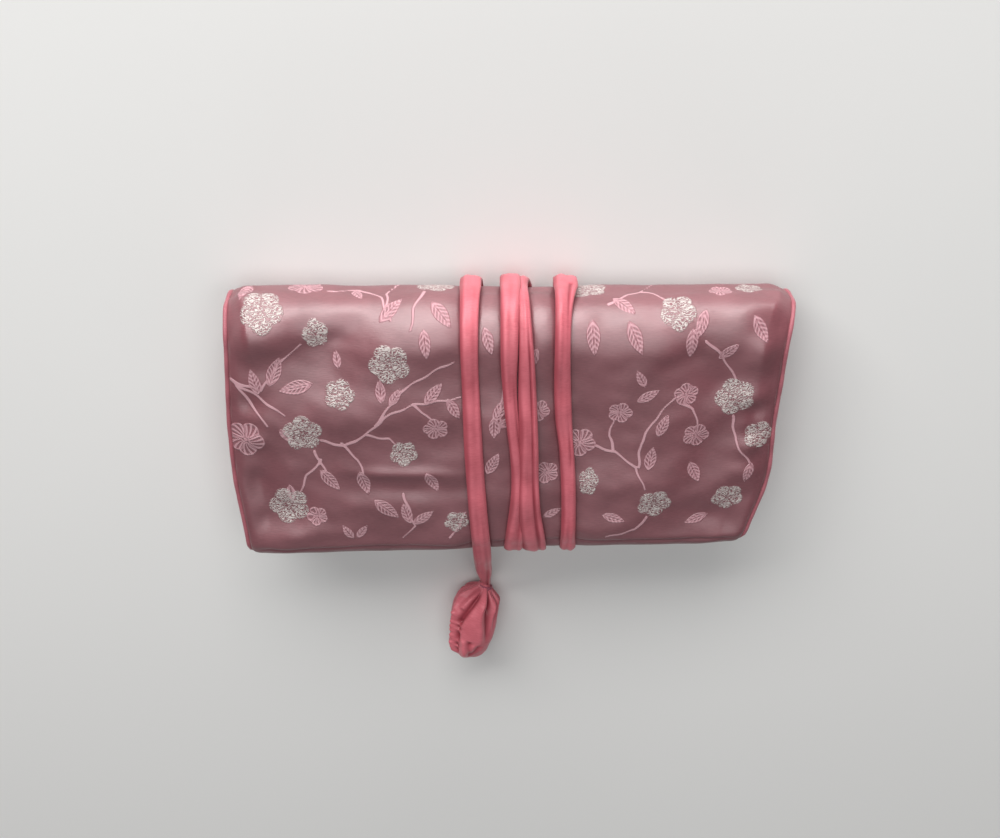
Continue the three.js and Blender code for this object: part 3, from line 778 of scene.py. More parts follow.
STRANDS = (
    Strand((20.8, 19.8, 19.1, 19.0, 19.5, 20.0, 21.2, 22.2, 22.7, 22.7, 23.0),
           (8.8, 6.8, 5.8, 5.7, 6.1, 6.0, 5.2, 5.3, 5.3, 5.5, 6.0),
           (1.8, 1.0, 0.2, 0.0, 0.0, 0.0, 0.1, 0.0, 0.0, 0.0, 0.0),
           (0.9, 0.7, 0.3, 0.0, 0.0, 0.1, 0.5, 0.1, 0.0, 0.0, 0.0),
           (4, 10, 18, 20, 14, 8, 18, 6, 4, 10, 4)),
    Strand((5.2, 5.8, 6.4, 7.1, 7.5, 7.9, 8.2, 8.3, 8.9, 10.3, 11.0),
           (4.6, 4.2, 4.4, 5.4, 6.4, 6.5, 6.7, 7.0, 7.8, 8.6, 8.6),
           (0.0, 0.0, 0.0, 0.2, 0.8, 1.1, 1.2, 1.1, 0.9, 0.5, 0.3),
           (0.0, 0.0, 0.2, 0.7, 0.9, 0.9, 0.8, 0.7, 0.6, 0.5, 0.3),
           (0, 0, 4, 8, 8, 8, 8, 6, 4, 2, 0)),
    Strand((1.8, 1.6, 1.4, 1.2, 1.6, 2.6, 4.0, 5.1, 4.4, 3.4, 3.0),
           (7.4, 6.6, 6.2, 5.8, 5.0, 4.8, 5.0, 5.6, 6.4, 6.8, 7.0),
           (1.5, 1.5, 1.4, 1.1, 0.5, 0.1, 0.0, 0.0, 0.0, 0.0, 0.0),
           (0.0, 0.0, 0.0, 0.1, 0.2, 0.2, 0.2, 0.2, 0.3, 0.3, 0.3),
           (4, 6, 8, 10, 16, 18, 10, 6, 4, 2, 0)),
    Strand((-11.8, -11.9, -12.1, -12.1, -11.6, -11.3, -11.0, -10.3, -9.4, -8.7, -8.2),
           (7.6, 6.7, 6.3, 6.2, 6.3, 6.4, 6.6, 6.6, 6.6, 6.7, 6.8),
           (0.2, 0.2, 0.1, 0.0, 0.0, 0.0, 0.0, 0.1, 0.2, 0.3, 0.3),
           (0.0, 0.0, 0.0, 0.0, 0.0, 0.0, 0.1, 0.2, 0.3, 0.4, 0.4),
           (2, 6, 10, 14, 16, 15, 13, 12, 8, 4, 2)),
)


class Finish:
    """Small steps that the finishes share when they wire their nodes; _ is a space in a socket's name."""
    mix_sockets = (0, 6, 7)
    quarter_turn = 0.25

    def __init__(self, name: str) -> None:
        """Starts a material with its shader.

        Args:
            name: the material's name.
        """
        self.material = bpy.data.materials.new(name)
        self.material.use_nodes = True
        self.tree = self.material.node_tree

    def feed(self, socket: Socket, value: object) -> None:
        """Links a socket to another one, or sets it to a number, a vector or a colour.

        Args:
            socket: the socket.
            value: another socket, or what it is set to.
        """
        if isinstance(value, Socket):
            self.tree.links.new(value, socket)
        else:
            socket.default_value = (*value, 1.0) if socket.type == "RGBA" else value

    def dress(self, **values: object) -> Material:
        """Feeds the shader's sockets.

        Args:
            values: sockets or plain values, by socket name.

        Returns:
            The material.
        """
        for key, value in values.items():
            self.feed(self.tree.nodes["Principled BSDF"].inputs[key.replace("_", " ")], value)
        return self.material

    def node(self, kind: str, out: str, **values: object) -> Socket:
        """Adds a node and sets it up.

        Args:
            kind: the node's type name after ShaderNode.
            out: the output that is wanted.
            values: options by attribute name, and inputs by socket name.

        Returns:
            The output.
        """
        node = self.tree.nodes.new("ShaderNode" + kind)
        for key, value in values.items():
            if hasattr(node, key):
                setattr(node, key, value)
            else:
                self.feed(node.inputs[key.replace("_", " ")], value)
        return node.outputs[out]

    def math(self, operation: str, *values: object) -> Socket:
        """One sum of numbers or sockets.

        Args:
            operation: what is done.
            values: what it is done with.

        Returns:
            The result.
        """
        node = self.tree.nodes.new("ShaderNodeMath")
        node.operation = operation
        for socket, value in zip(node.inputs, values):
            self.feed(socket, value)
        return node.outputs[0]

    def times(self, a: object, b: object) -> Socket:
        """The product of two numbers or sockets."""
        return self.math("MULTIPLY", a, b)

    def add(self, a: Socket, share_a: float, b: Socket, share_b: float) -> Socket:
        """The sum of two numbers, each times its share."""
        return self.math("ADD", self.times(a, share_a), self.times(b, share_b))

    def mix(self, share: Socket, a: object, b: object) -> Socket:
        """A colour between two colours or sockets, by a share.

        Args:
            share: share of the second.
            a: the first.
            b: the second.

        Returns:
            The colour.
        """
        node = self.tree.nodes.new("ShaderNodeMix")
        node.data_type = "RGBA"
        for number, value in zip(self.mix_sockets, (share, a, b)):
            self.feed(node.inputs[number], value)
        return node.outputs[2]

    def cloth(self, scale: tuple[float, float, float] = (1, 1, 1), turn: float = 0.0) -> Socket:
        """Cloth coordinates, scaled and turned in degrees."""
        place = self.node("UVMap", "UV", uv_map="Cloth")
        return self.node("Mapping", "Vector", Vector=place, Scale=scale, Rotation=(0, 0, math.radians(turn)))

    def inside(self) -> Socket:
        """Coordinates in the piece itself."""
        return self.node("TexCoord", "Object")

    def lustre(self, along: float) -> None:
        """Stretches the gloss along the cloth, as the long threads of satin do."""
        tangent = self.node("Tangent", "Tangent", direction_type="UV_MAP", uv_map="Cloth")
        self.dress(Tangent=tangent, Anisotropic=along, Anisotropic_Rotation=self.quarter_turn)

    def field(self, name: str) -> Socket:
        """A number stored on the mesh."""
        return self.node("Attribute", "Fac", attribute_name=name)

    def rise(self, value: Socket, low: float, high: float,
             to_low: float = 0.0, to_high: float = 1.0) -> Socket:
        """Maps a number softly from the span of low and high to another span."""
        return self.node("MapRange", "Result", interpolation_type="SMOOTHSTEP", Value=value,
                         From_Min=low, From_Max=high, To_Min=to_low, To_Max=to_high)

    def noise(self, vector: Socket, scale: float, detail: float = 2.0) -> Socket:
        """Soft cloudy numbers from 0 to 1."""
        return self.node("TexNoise", "Fac", Vector=vector, Scale=scale, Detail=detail)

    def wave(self, vector: Socket, scale: float, distortion: float = 0.0, direction: str = "X") -> Socket:
        """Even bands from 0 to 1 along one direction, bent by a distortion."""
        return self.node("TexWave", "Fac", wave_type="BANDS", bands_direction=direction, Vector=vector,
                         Scale=scale, Distortion=distortion, Detail=2.0, Detail_Scale=2.0)

    def emboss(self, *layers: tuple[Socket, float, float]) -> Socket:
        """Bumps the surface by heights, one over the other.

        Args:
            layers: each height with its strength and its depth in metres.

        Returns:
            The bumped normal.
        """
        under: dict[str, Socket] = {}
        for height, strength, depth in layers:
            under = {"Normal": self.node("Bump", "Normal", Height=height, Strength=strength,
                                         Distance=depth, **under)}
        return under["Normal"]


# Ribs to a metre for a wave of scale 1
RIBS = 6.3


@dataclass(frozen=True)
class SatinFinish:
    """Plain satin: a lustrous ground with fine threads and soft shading.

    Attributes:
        name: the material's name.
        colour: the cloth's colour.
        deep: its colour in the hollows of the weave.
        roughness: how far the lustre spreads.
        sheen: how much of a soft edge light it has.
        painted_shade: a darker colour, painted as shade where the mesh stores a low share of unshaded colour.
        thread: threads to a metre.
    """
    name: str
    colour: Colour
    deep: Colour
    roughness: float = 0.36
    sheen: float = 0.25
    painted_shade: Colour | None = None
    thread: float = 2600.0

    def build(self) -> Material:
        """Wires the material.

        Returns:
            The material.
        """
        f = Finish(self.name)
        slub = f.noise(f.cloth((340, 2400, 1)), 1.0)
        tone = f.add(f.noise(f.cloth(), 95, 3), 0.6, slub, 0.4)
        colour = f.mix(f.rise(tone, 0.3, 0.62), self.deep, self.colour)
        # Painted shade: where the mesh stores a low share of unshaded colour, the darker colour is mixed in.
        if self.painted_shade:
            colour = f.mix(f.rise(f.field("unshaded_share"), 0.0, 1.0), self.painted_shade, colour)
        twill = f.wave(f.cloth(turn=62), self.thread / RIBS)
        gloss = f.rise(slub, 0.25, 0.75, self.roughness - 0.06, self.roughness + 0.08)
        return f.dress(Base_Color=colour, Roughness=gloss, Sheen_Weight=self.sheen, Sheen_Roughness=0.4,
                       Normal=f.emboss((slub, 0.22, 0.0002), (twill, 0.1, 0.00008)),
                       Specular_IOR_Level=0.38, IOR=1.46)


@dataclass(frozen=True)
class BrocadeFinish:
    """Satin brocade: a lustrous ground with raised silver and pink threads.

    Attributes:
        ground: the satin's colour.
        shade: the satin's colour between its threads.
        silver: colour of the blossoms' thread.
        pink: colour of the leaves' and stems' thread.
        pink_deep: the same thread in its hollows.
    """
    ground: Colour = (0.207, 0.064, 0.078)
    shade: Colour = (0.162, 0.046, 0.057)
    silver: Colour = (0.49, 0.435, 0.415)
    pink: Colour = (0.48, 0.245, 0.28)
    pink_deep: Colour = (0.33, 0.135, 0.162)

    def build(self) -> Material:
        """Wires the material.

        Returns:
            The material.
        """
        f = Finish("brocade")
        flat = f.cloth()
        weft = f.noise(f.cloth((420, 3000, 1)), 1.0)
        knots = f.noise(flat, 1500)
        curl = f.wave(f.cloth((0.7, 1, 1), 10), 330, 16.0, "Y")
        tone = f.add(weft, 0.5, f.noise(flat, 70, 3), 0.5)
        ground = f.mix(f.rise(tone, 0.36, 0.62), self.shade, self.ground)
        thread = f.rise(f.add(curl, 0.55, knots, 0.9), 0.46, 0.92)
        blossom = f.times(f.rise(f.field("silver"), -0.25, 0.3), thread)
        vein = f.rise(f.math("SINE", f.times(f.field("vein"), 3.9)), -0.5, 0.6)
        inside = f.rise(f.field("pink"), -0.14, 0.14)
        rim = f.math("SUBTRACT", 1.0, f.rise(f.field("pink"), 0.4, 0.75))
        drawn = f.times(inside, f.math("MAXIMUM", rim, f.times(vein, 0.85)))
        leaf = f.mix(f.rise(f.add(vein, 0.55, knots, 0.6), 0.3, 0.8), self.pink_deep, self.pink)
        colour = f.mix(f.times(inside, 0.3), ground, self.pink_deep)
        colour = f.mix(blossom, f.mix(drawn, colour, leaf), self.silver)
        raised = f.math("MAXIMUM", blossom, f.times(drawn, 0.8))
        f.lustre(0.7)
        return f.dress(Base_Color=colour, Normal=f.emboss((weft, 0.22, 0.0002), (raised, 0.55, 0.0005)),
                       Roughness=f.rise(f.math("MAXIMUM", blossom, drawn), 0.0, 1.0, 0.40, 0.66),
                       Sheen_Weight=0.06, Sheen_Roughness=0.45, Specular_IOR_Level=1.0, IOR=1.62)


@dataclass(frozen=True)
class WovenFinish:
    """Matt woven or sewn goods, such as zip tape and thread.

    Attributes:
        name: the material's name.
        colour: its colour.
        deep: its colour between the ribs.
        ribs: ribs to a metre.
        turn: how far the ribs are turned, in degrees.
    """
    name: str
    colour: Colour
    deep: Colour
    ribs: float = 1500.0
    turn: float = 45.0

    def build(self) -> Material:
        """Wires the material.

        Returns:
            The material.
        """
        f = Finish(self.name)
        ribs = f.wave(f.cloth(turn=self.turn), self.ribs / RIBS, 0.4)
        fuzz = f.noise(f.inside(), 2600)
        colour = f.mix(f.rise(f.add(ribs, 0.6, fuzz, 0.4), 0.3, 0.7), self.deep, self.colour)
        return f.dress(Base_Color=colour, Roughness=f.rise(fuzz, 0.2, 0.8, 0.7, 0.9),
                       Normal=f.emboss((ribs, 0.5, 0.00015)), Sheen_Weight=0.15, Specular_IOR_Level=0.3)


@dataclass(frozen=True)
class MetalFinish:
    """Plated metal with fine rubbed marks."""
    name: str = "nickel"
    colour: Colour = (0.60, 0.59, 0.57)
    rubbed: Colour = (0.48, 0.47, 0.45)

    def build(self) -> Material:
        """Wires the material.

        Returns:
            The material.
        """
        f = Finish(self.name)
        rub = f.noise(f.inside(), 900, 4)
        return f.dress(Base_Color=f.mix(f.rise(rub, 0.35, 0.65), self.rubbed, self.colour), Metallic=1.0,
                       Roughness=f.rise(rub, 0.3, 0.7, 0.2, 0.38),
                       Normal=f.emboss((f.noise(f.inside(), 4200), 0.06, 0.0001)))


@dataclass(frozen=True)
class NylonFinish:
    """Dyed nylon of the zip coils."""
    name: str = "nylon"
    colour: Colour = (0.52, 0.19, 0.25)
    worn: Colour = (0.60, 0.26, 0.32)

    def build(self) -> Material:
        """Wires the material.

        Returns:
            The material.
        """
        f = Finish(self.name)
        spots = f.noise(f.inside(), 1300, 3)
        return f.dress(Base_Color=f.mix(f.rise(spots, 0.4, 0.65), self.colour, self.worn),
                       Roughness=f.rise(spots, 0.3, 0.7, 0.36, 0.5))


@dataclass(frozen=True)
class FloorFinish:
    """The plain pale table."""
    colour: Colour = (0.74, 0.74, 0.73)

    def build(self) -> Material:
        """Wires the material.

        Returns:
            The material.
        """
        return Finish("table").dress(Base_Color=self.colour, Roughness=0.7, Specular_IOR_Level=0.2)


@dataclass(frozen=True)
class Motif:
    """A blossom on the brocade: its middle, half height, turn in degrees and slimness."""
    x: float
    w: float
    reach: float
    turn: float = 0.0
    slim: float = 1.0


@dataclass(frozen=True)
class Leaf:
    """A leaf on the brocade: its middle, direction of its tip in degrees, and length."""
    x: float
    w: float
    turn: float
    length: float


class Brocade:
    """The traditional blossom and branch pattern, which repeats along the cloth.

    Shares of a blossom's half height: petal, opening and seed; of a leaf's length: leaf_width.
    """
    repeat = 128.0
    first = -13.0
    outside = -2.0
    blossom_margin = 2.0
    stem_margin = 3.0
    petals = 5
    petal = 0.5
    squash = (0.94, 0.98)
    gap = 0.16
    opening = 0.14
    seed = 0.11
    spokes = 4.5
    swirl = 0.3
    leaf_width = 0.2
    leaf_point = 0.25
    midrib = 0.2
    vein_slant = 1.1
    stem = (0.52, 0.32)
    stem_sway = 0.3
    stem_paces = (0.7, 0.8)
    stem_vein = (0.4, 0.3, 4.3)
    silver_blossoms = (
        Motif(-81, 11, 7.2, 10), Motif(-63, 18, 5.4, 40, 0.8), Motif(-38, 28, 7.0, 25), Motif(-55, 40, 5.2),
        Motif(-68, 55, 6.8, 50), Motif(-33, 63, 4.8, 15), Motif(-74, 85, 7.2, 30), Motif(-24, -5, 6.4, 5),
        Motif(-14, 92, 4.4, 20), Motif(28, -2, 6.4, 45), Motif(58, 11, 6.0, 12), Motif(80, 42, 6.8, 33),
        Motif(32, 76, 5.6, 60, 0.62), Motif(56, 86, 6.0, 8), Motif(82, 85, 5.6, 22), Motif(90, 58, 5.2),
        Motif(83, -2, 4.6, 30),
    )
    pink_blossoms = (
        Motif(-68, -3, 6.0, 20), Motif(-88, 58, 6.6, 10), Motif(-22, 53, 4.4, 35), Motif(41, 47, 4.2, 0),
        Motif(28, 60, 5.6, 15), Motif(63, 40, 4.2, 48), Motif(68, 57, 4.6, 5), Motif(73, 1, 4.0, 25),
        Motif(-64, 89, 3.8, 25), Motif(13, 46, 4.0, 10), Motif(17, 72, 4.4, 30),
    )
    leaves = (
        Leaf(-70, 38, 168, 12), Leaf(-56, 28, -100, 7), Leaf(-59, 74, 50, 11), Leaf(-47, 75, 72, 11),
        Leaf(-39, 86, 42, 12), Leaf(-23, 75, 62, 10), Leaf(-32, 88, -108, 9.5), Leaf(-26, 90, -38, 9.5),
        Leaf(-53, 96, -122, 7.5), Leaf(-48, 96, -58, 7.5), Leaf(-2, 67, -66, 10.5), Leaf(-26, 21, 80, 9.5),
        Leaf(-38, 10, -48, 11), Leaf(-21, 12, 50, 11), Leaf(30, 19, 82, 11), Leaf(44, 19, 62, 11),
        Leaf(63, 21, 92, 10), Leaf(86, 17, 58, 10), Leaf(53, 66, -84, 10.5), Leaf(69, 73, 66, 10),
        Leaf(56, 52, -72, 10), Leaf(66, 15, 108, 9.5), Leaf(0, 45, -62, 10), Leaf(3, 50, -18, 9),
        Leaf(-2, 52, 88, 9), Leaf(-23, 39, -52, 10), Leaf(-16, 45, 60, 9), Leaf(-84, 36, -105, 10),
        Leaf(-77, 32, -70, 12), Leaf(-74, 56, 55, 7), Leaf(-41, 38, -96, 9), Leaf(-36, 40, -60, 8),
        Leaf(-88, 2, 98, 12), Leaf(-73, 80, 80, 8), Leaf(40, 9, 40, 10), Leaf(76, 24, -42, 9),
        Leaf(12, 84, -70, 8), Leaf(20, 90, -30, 8), Leaf(42, 92, 20, 9), Leaf(72, 95, 160, 9),
        Leaf(47, 33, -118, 8), Leaf(50, 40, -30, 9), Leaf(-50, 2, 60, 8), Leaf(-5, 20, 70, 9),
        Leaf(10, 26, 110, 9), Leaf(88, 74, 100, 9),
    )
    branches = (
        ((-92, 36), (-84, 41), (-74, 48)), ((-92, 36), (-82, 39), (-76, 30), (-68, 22)),
        ((-90, 38), (-84, 47), (-80, 52)), ((-62, 58), (-54, 60), (-46, 55), (-40, 48), (-30, 43), (-14, 41)),
        ((-43, 51), (-34, 38), (-24, 31), (-16, 27)), ((-55, 59), (-49, 65), (-47, 71)),
        ((-46, 55), (-38, 57), (-36, 60)), ((-64, 62), (-62, 68), (-60, 71)),
        ((-62, 66), (-67, 72), (-70, 80)), ((-30, 43), (-25, 47), (-23, 50)),
        ((32, 61), (41, 64), (48, 70), (52, 79)),
        ((49, 70), (49, 60), (52, 51), (59, 41)), ((40, 63), (38, 57), (39, 50)),
        ((35, 9), (41, 4), (46, 1), (51, -7)), ((46, 1), (50, 3), (54, 7)),
        ((-60, 0), (-50, -2), (-42, 4), (-38, 14)), ((-36, -8), (-40, 2), (-39, 12)),
        ((-27, 2), (-30, 10), (-31, 17)), ((-33, 80), (-29, 94), (-33, 99)),
        ((-16, 99), (-13, 94), (-11, 88)), ((60, 42), (66, 46), (68, 52)),
        ((80, 50), (82, 60), (88, 70)), ((68, 20), (74, 26), (80, 36)),
        ((2, 34), (0, 42), (0, 54)), ((54, 92), (50, 98), (40, 101)),
    )

    def fields(self, x: Array, w: Array) -> dict[str, Array]:
        """How deep each place lies inside the silver and the pink figures.

        Args:
            x: places across the cloth.
            w: places along it.

        Returns:
            Depths named silver and pink, and the run of the veins named vein.
        """
        self.x, self.w = x.ravel(), (w.ravel() - self.first) % self.repeat + self.first
        self.values = {key: np.full(x.size, self.outside) for key in ("silver", "pink")}
        self.values["vein"] = np.zeros(x.size)
        for path in self.branches:
            self.branch(path)
        for leaf in self.leaves:
            self.leaf(leaf)
        for name, blossoms in (("pink", self.pink_blossoms), ("silver", self.silver_blossoms)):
            for blossom in blossoms:
                self.blossom(blossom, name)
        return {key: value.reshape(x.shape) for key, value in self.values.items()}

    def near(self, x: float, w: float, reach: float) -> Array:
        """Numbers of the points within a square about a place."""
        return np.nonzero((np.abs(self.x - x) < reach) & (np.abs(self.w - w) < reach))[0]

    def keep(self, name: str, which: Array, depth: Array, vein: Array) -> None:
        """Keeps the deeper of what is there and what is new, with its veins.

        Args:
            name: silver or pink.
            which: numbers of the points.
            depth: their new depths.
            vein: the run of the veins there.
        """
        better = depth > self.values[name][which]
        self.values[name][which[better]] = depth[better]
        self.values["vein"][which[better]] = vein[better]

    def blossom(self, motif: Motif, name: str) -> None:
        """Draws round petals about a small open middle, with a gap between neighbours.

        Args:
            motif: the blossom.
            name: silver or pink.
        """
        which = self.near(motif.x, motif.w, motif.reach + self.blossom_margin)
        dx, dw = (self.x[which] - motif.x) / motif.slim, self.w[which] - motif.w
        step = FULL_TURN / self.petals
        angle = np.arctan2(dw, dx) - math.radians(motif.turn)
        fold = angle - step * np.round(angle / step)
        radius = np.hypot(dx, dw)
        size = motif.reach * self.petal
        along, across = radius * np.cos(fold), radius * np.sin(fold)
        petal = size - np.hypot((along - size) * self.squash[0], across * self.squash[1])
        gap = radius * np.sin(step / 2 - np.abs(fold)) - self.gap
        depth = np.minimum(np.minimum(petal, gap), radius - motif.reach * self.opening)
        depth = np.maximum(depth, motif.reach * self.seed - radius)
        self.keep(name, which, depth, angle * self.spokes + radius * self.swirl)

    def leaf(self, leaf: Leaf) -> None:
        """Draws a pointed leaf with a bare midrib and slanting veins.

        Args:
            leaf: the leaf.
        """
        which = self.near(leaf.x, leaf.w, leaf.length)
        c, s = math.cos(math.radians(leaf.turn)), math.sin(math.radians(leaf.turn))
        dx, dw = self.x[which] - leaf.x, self.w[which] - leaf.w
        along, across = dx * c + dw * s, np.abs(dw * c - dx * s)
        t = np.clip(along / (leaf.length / 2), -1, 1)
        width = leaf.length * self.leaf_width * (1 - t ** 2) * (1 - self.leaf_point * t)
        depth = np.minimum(width - across, leaf.length / 2 - np.abs(along))
        depth = np.where(depth > 0, np.minimum(depth, across - self.midrib * (1 - t ** 2)), depth)
        self.keep("pink", which, depth, along - across * self.vein_slant)

    def branch(self, path: Sequence[tuple[float, float]]) -> None:
        """Draws a stem along a path, thinner towards its end.

        Args:
            path: its corners, as x and w.
        """
        points = np.array(path, float)
        middle = points.mean(0)
        which = self.near(middle[0], middle[1], np.abs(points - middle).max() + self.stem_margin)
        x, w = self.x[which], self.w[which]
        sway_x, sway_w = np.sin(w * self.stem_paces[0] + 1), np.sin(x * self.stem_paces[1])
        place = np.stack([x + self.stem_sway * sway_x, w + self.stem_sway * sway_w], -1)
        best = np.full(len(which), np.inf)
        run = np.zeros(len(which))
        done = 0.0
        for a, b in zip(points[:-1], points[1:]):
            span = b - a
            size = np.hypot(*span)
            t = np.clip((place - a) @ span / size ** 2, 0, 1)
            away = np.hypot(*(place - a - t[:, None] * span).T)
            nearer = away < best
            best[nearer] = away[nearer]
            run[nearer] = (done + t * size)[nearer]
            done += size
        thick = np.interp(run / done, (0, 1), self.stem)
        base, height, pace = self.stem_vein
        self.keep("pink", which, thick - best, base + height * np.sin(run * pace))


@dataclass
class Assembly:
    """A sub-assembly that dresses its pieces and hides the frame's nodes that they stand for."""
    finishes: dict[str, Material]

    def wear(self, piece: Object, finish: str) -> None:
        """Gives a piece one material."""
        piece.data.materials.clear()
        piece.data.materials.append(self.finishes[finish])

    def dress(self, piece: Object, finish: str, slot: str, nodes: Sequence[str] = (), body: str = "") -> None:
        """Dresses a piece, hides the nodes that it stands for and puts it on its body.

        Args:
            piece: the piece.
            finish: name of its material.
            slot: not used.
            nodes: the nodes that it stands for.
            body: the body that it rides on, if any.
        """
        self.wear(piece, finish)
        if nodes:
            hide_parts(*nodes)
        if body:
            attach(piece, body)
        LOG.info("%s: %d faces", piece.name, len(piece.data.polygons))


class Panel(Enum):
    """Stretches of the padded cloth, each of which bends at one fold."""
    LIP = "lip"
    FOOT = "back_foot"
    TOP = "back_top"
    FLAP = "flap"


@dataclass(frozen=True)
class PanelPlan:
    """A stretch of cloth.

    Attributes:
        span: where it runs along the cloth.
        bodies: the two bodies on either side of its fold.
        bend: y and z where the bend starts and where it ends.
        nodes: the panels that it stands for.
        step: size of its mesh's steps.
        free: -1 or 1 where its first or last edge is free.
    """
    span: tuple[float, float]
    bodies: tuple[str, str]
    bend: tuple[tuple[float, float], tuple[float, float]]
    nodes: tuple[str, ...]
    step: float
    free: int = 0


@dataclass
class PaddedCloth(Assembly):
    """The padded cloth of the roll: brocade outside, satin lining inside and piping at the edges."""
    form: RollForm
    cover_thick: float = 0.5
    lining_thick: float = 0.4
    fine_step: float = 0.5
    plain_step: float = 0.9
    lining_step: float = 1.4
    piping_step: float = 1.5
    piping_out: float = 0.6
    piping_sway: float = 0.25
    piping_pace: float = 0.55
    piping_rise: float = 0.2
    corner_points: int = 12
    edge_points: int = 90

    def plans(self) -> dict[Panel, PanelPlan]:
        """Plans the four stretches from the form.

        Returns:
            The plans, in the order of the cloth.
        """
        f, s = self.form, self.form.sizes
        top_y, foot_y = s.top - s.top_radius, s.foot + s.foot_radius
        upper_top, upper_foot = s.thickness - s.top_radius, s.foot_height - s.foot_radius
        return {
            Panel.LIP: PanelPlan((f.lip_start, f.foot_middle), ("foot_fold", "lip"),
                                 ((s.foot, upper_foot), (foot_y, s.foot_height)),
                                 ("lip",), self.plain_step, -1),
            Panel.FOOT: PanelPlan((f.foot_middle, f.back_middle), ("back", "foot_fold"),
                                  ((foot_y, 0), (s.foot, s.foot_radius)), ("foot_fold",), self.plain_step),
            Panel.TOP: PanelPlan((f.back_middle, f.top_middle), ("back", "top_fold"),
                                 ((top_y, 0), (s.top, s.top_radius)), ("back", "top_fold"), self.plain_step),
            Panel.FLAP: PanelPlan((f.top_middle, f.hem_end), ("top_fold", "flap"),
                                  ((s.top, upper_top), (top_y, s.thickness)), ("flap",), self.fine_step, 1),
        }

    def build(self) -> None:
        """Makes every cover, which stands for the wadding under it too, every lining and every piping."""
        for panel, plan in self.plans().items():
            name, f = panel.value, self.form
            x, v = self.grid(plan.span, plan.step)
            points, out = f.cover(x, v)
            pattern = Brocade().fields(x, v - f.top_middle)
            flat = np.stack([x, v], -1)
            piece = Meshes.sheet(f"{name}_brocade", points, out, self.cover_thick, flat, pattern)
            nodes = [f"{each}_{layer}" for each in plan.nodes for layer in ("cover", "wadding")]
            self.settle(piece, plan, "brocade", "brocade", nodes)
            x, v = self.grid(plan.span, self.lining_step)
            points, out = f.lining(x, v)
            flat = np.stack([x, v], -1)
            piece = Meshes.sheet(f"{name}_satin_lining", points, out, self.lining_thick, flat)
            self.settle(piece, plan, "lining", "lining", [f"{each}_lining" for each in plan.nodes])
            self.piping(name, plan)

    def grid(self, span: tuple[float, float], step: float) -> tuple[Array, Array]:
        """Even rows and columns of places over a stretch of cloth.

        Args:
            span: where the stretch starts and ends.
            step: size of the steps.

        Returns:
            The grids of x and v.
        """
        v = np.linspace(*span, Meshes.steps(span[1] - span[0], step) + 1)[:, None]
        share = np.linspace(-1, 1, Meshes.steps(2 * self.form.sizes.half_width, step) + 1)[None, :]
        x = share * self.form.half(v, np.sign(share))
        return x, np.broadcast_to(v, x.shape)

    def settle(self, piece: Object, plan: PanelPlan, finish: str, slot: str, nodes: Sequence[str]) -> None:
        """Dresses a piece for the nodes that it replaces and bakes its place into its mesh.

        Args:
            piece: the cloth.
            plan: not used.
            finish: name of its material.
            slot: not used.
            nodes: the nodes that it replaces.
        """
        self.dress(piece, finish, slot, nodes)
        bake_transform(piece)

    def flat(self, plan: PanelPlan) -> tuple[float, float]:
        """Flat size of a stretch, in metres."""
        return 2 * self.form.sizes.half_width * MM, (plan.span[1] - plan.span[0]) * MM

    def piping(self, name: str, plan: PanelPlan) -> None:
        """Makes the satin piping along the sides, and round the free edge where there is one.

        Args:
            name: the panel's name.
            plan: its stretch.
        """
        v = np.linspace(*plan.span, max(8, round((plan.span[1] - plan.span[0]) / self.piping_step)))
        if plan.free:
            routes = [self.round_edge(plan, v)]
            nodes = [f"{name}_piping"]
        else:
            routes = [self.beside(way * (self.form.half(v, way) + self.piping_out), v) for way in (-1, 1)]
            nodes = [f"{each}_piping_{side}" for each in plan.nodes for side in ("left", "right")]
        piece = Meshes.tubes(f"{name}_satin_piping", routes, self.form.sizes.piping / 2)
        self.settle(piece, plan, "piping", "lining", nodes)

    def round_edge(self, plan: PanelPlan, v: Array) -> Array:
        """Leads the piping along the right side, round the free edge and back along the left side.

        Args:
            plan: the stretch.
            v: places along it.

        Returns:
            The piping's points.
        """
        corner, out, way = self.form.sizes.hem_corner, self.piping_out, plan.free
        edge = plan.span[1] if way > 0 else plan.span[0]
        kept = v[np.abs(edge - v) > corner + 1][::way]
        angle = np.radians(np.linspace(0, 90, self.corner_points))
        bend = (corner + out) * np.cos(angle)
        bend_v = edge + way * ((corner + out) * np.sin(angle) - corner)
        right, left = (float(self.form.side(edge, side)) - corner for side in (1, -1))
        right_x, left_x = (self.form.side(kept, side) + out for side in (1, -1))
        across = np.linspace(right, -left, self.edge_points)[1:-1]
        along = np.full(len(across), edge + way * out)
        x = np.concatenate([right_x, right + bend, across, -(left + bend)[::-1], -left_x[::-1]])
        return self.beside(x, np.concatenate([kept, bend_v, along, bend_v[::-1], kept[::-1]]))

    def beside(self, x: Array, v: Array) -> Array:
        """Points of the piping beside the cloth, half way through the wall.

        Args:
            x: places across the roll.
            v: places along the cloth.

        Returns:
            The points.
        """
        f = self.form
        sway = self.piping_sway * np.sin(v * self.piping_pace + np.sign(x)) * (np.abs(x) > f.sizes.half_width)
        return f.place(x, v, f.wall_at(v) * (0.5 - self.piping_rise * f.pinch(v)) + sway)[0]


@dataclass(frozen=True)
class BudCrease:
    """A fold in the bud: its start and end along it, its angle and how that drifts, depth and width."""
    start: float
    end: float
    angle: float
    drift: float
    depth: float
    width: float

    def height(self, t: Array, angle: Array) -> Array:
        """How far the cloth sinks in it and swells beside it, at shares of the length and at angles.

        Args:
            t: shares of the bud's length.
            angle: angles round the bud.

        Returns:
            The heights.
        """
        beside, swell, fade_in, fade_out = 2.2, 0.55, (0, 0.2), (0.65, 1.0)
        share = (t - self.start) / (self.end - self.start)
        middle = self.angle + self.drift * share
        sunk = bump(turn_to(angle, middle), 0, self.width)
        swollen = swell * bump(turn_to(angle, middle - beside * self.width), 0, self.width)
        return -self.depth * (smooth(share, *fade_in) * (1 - smooth(share, *fade_out))) * (sunk - swollen)


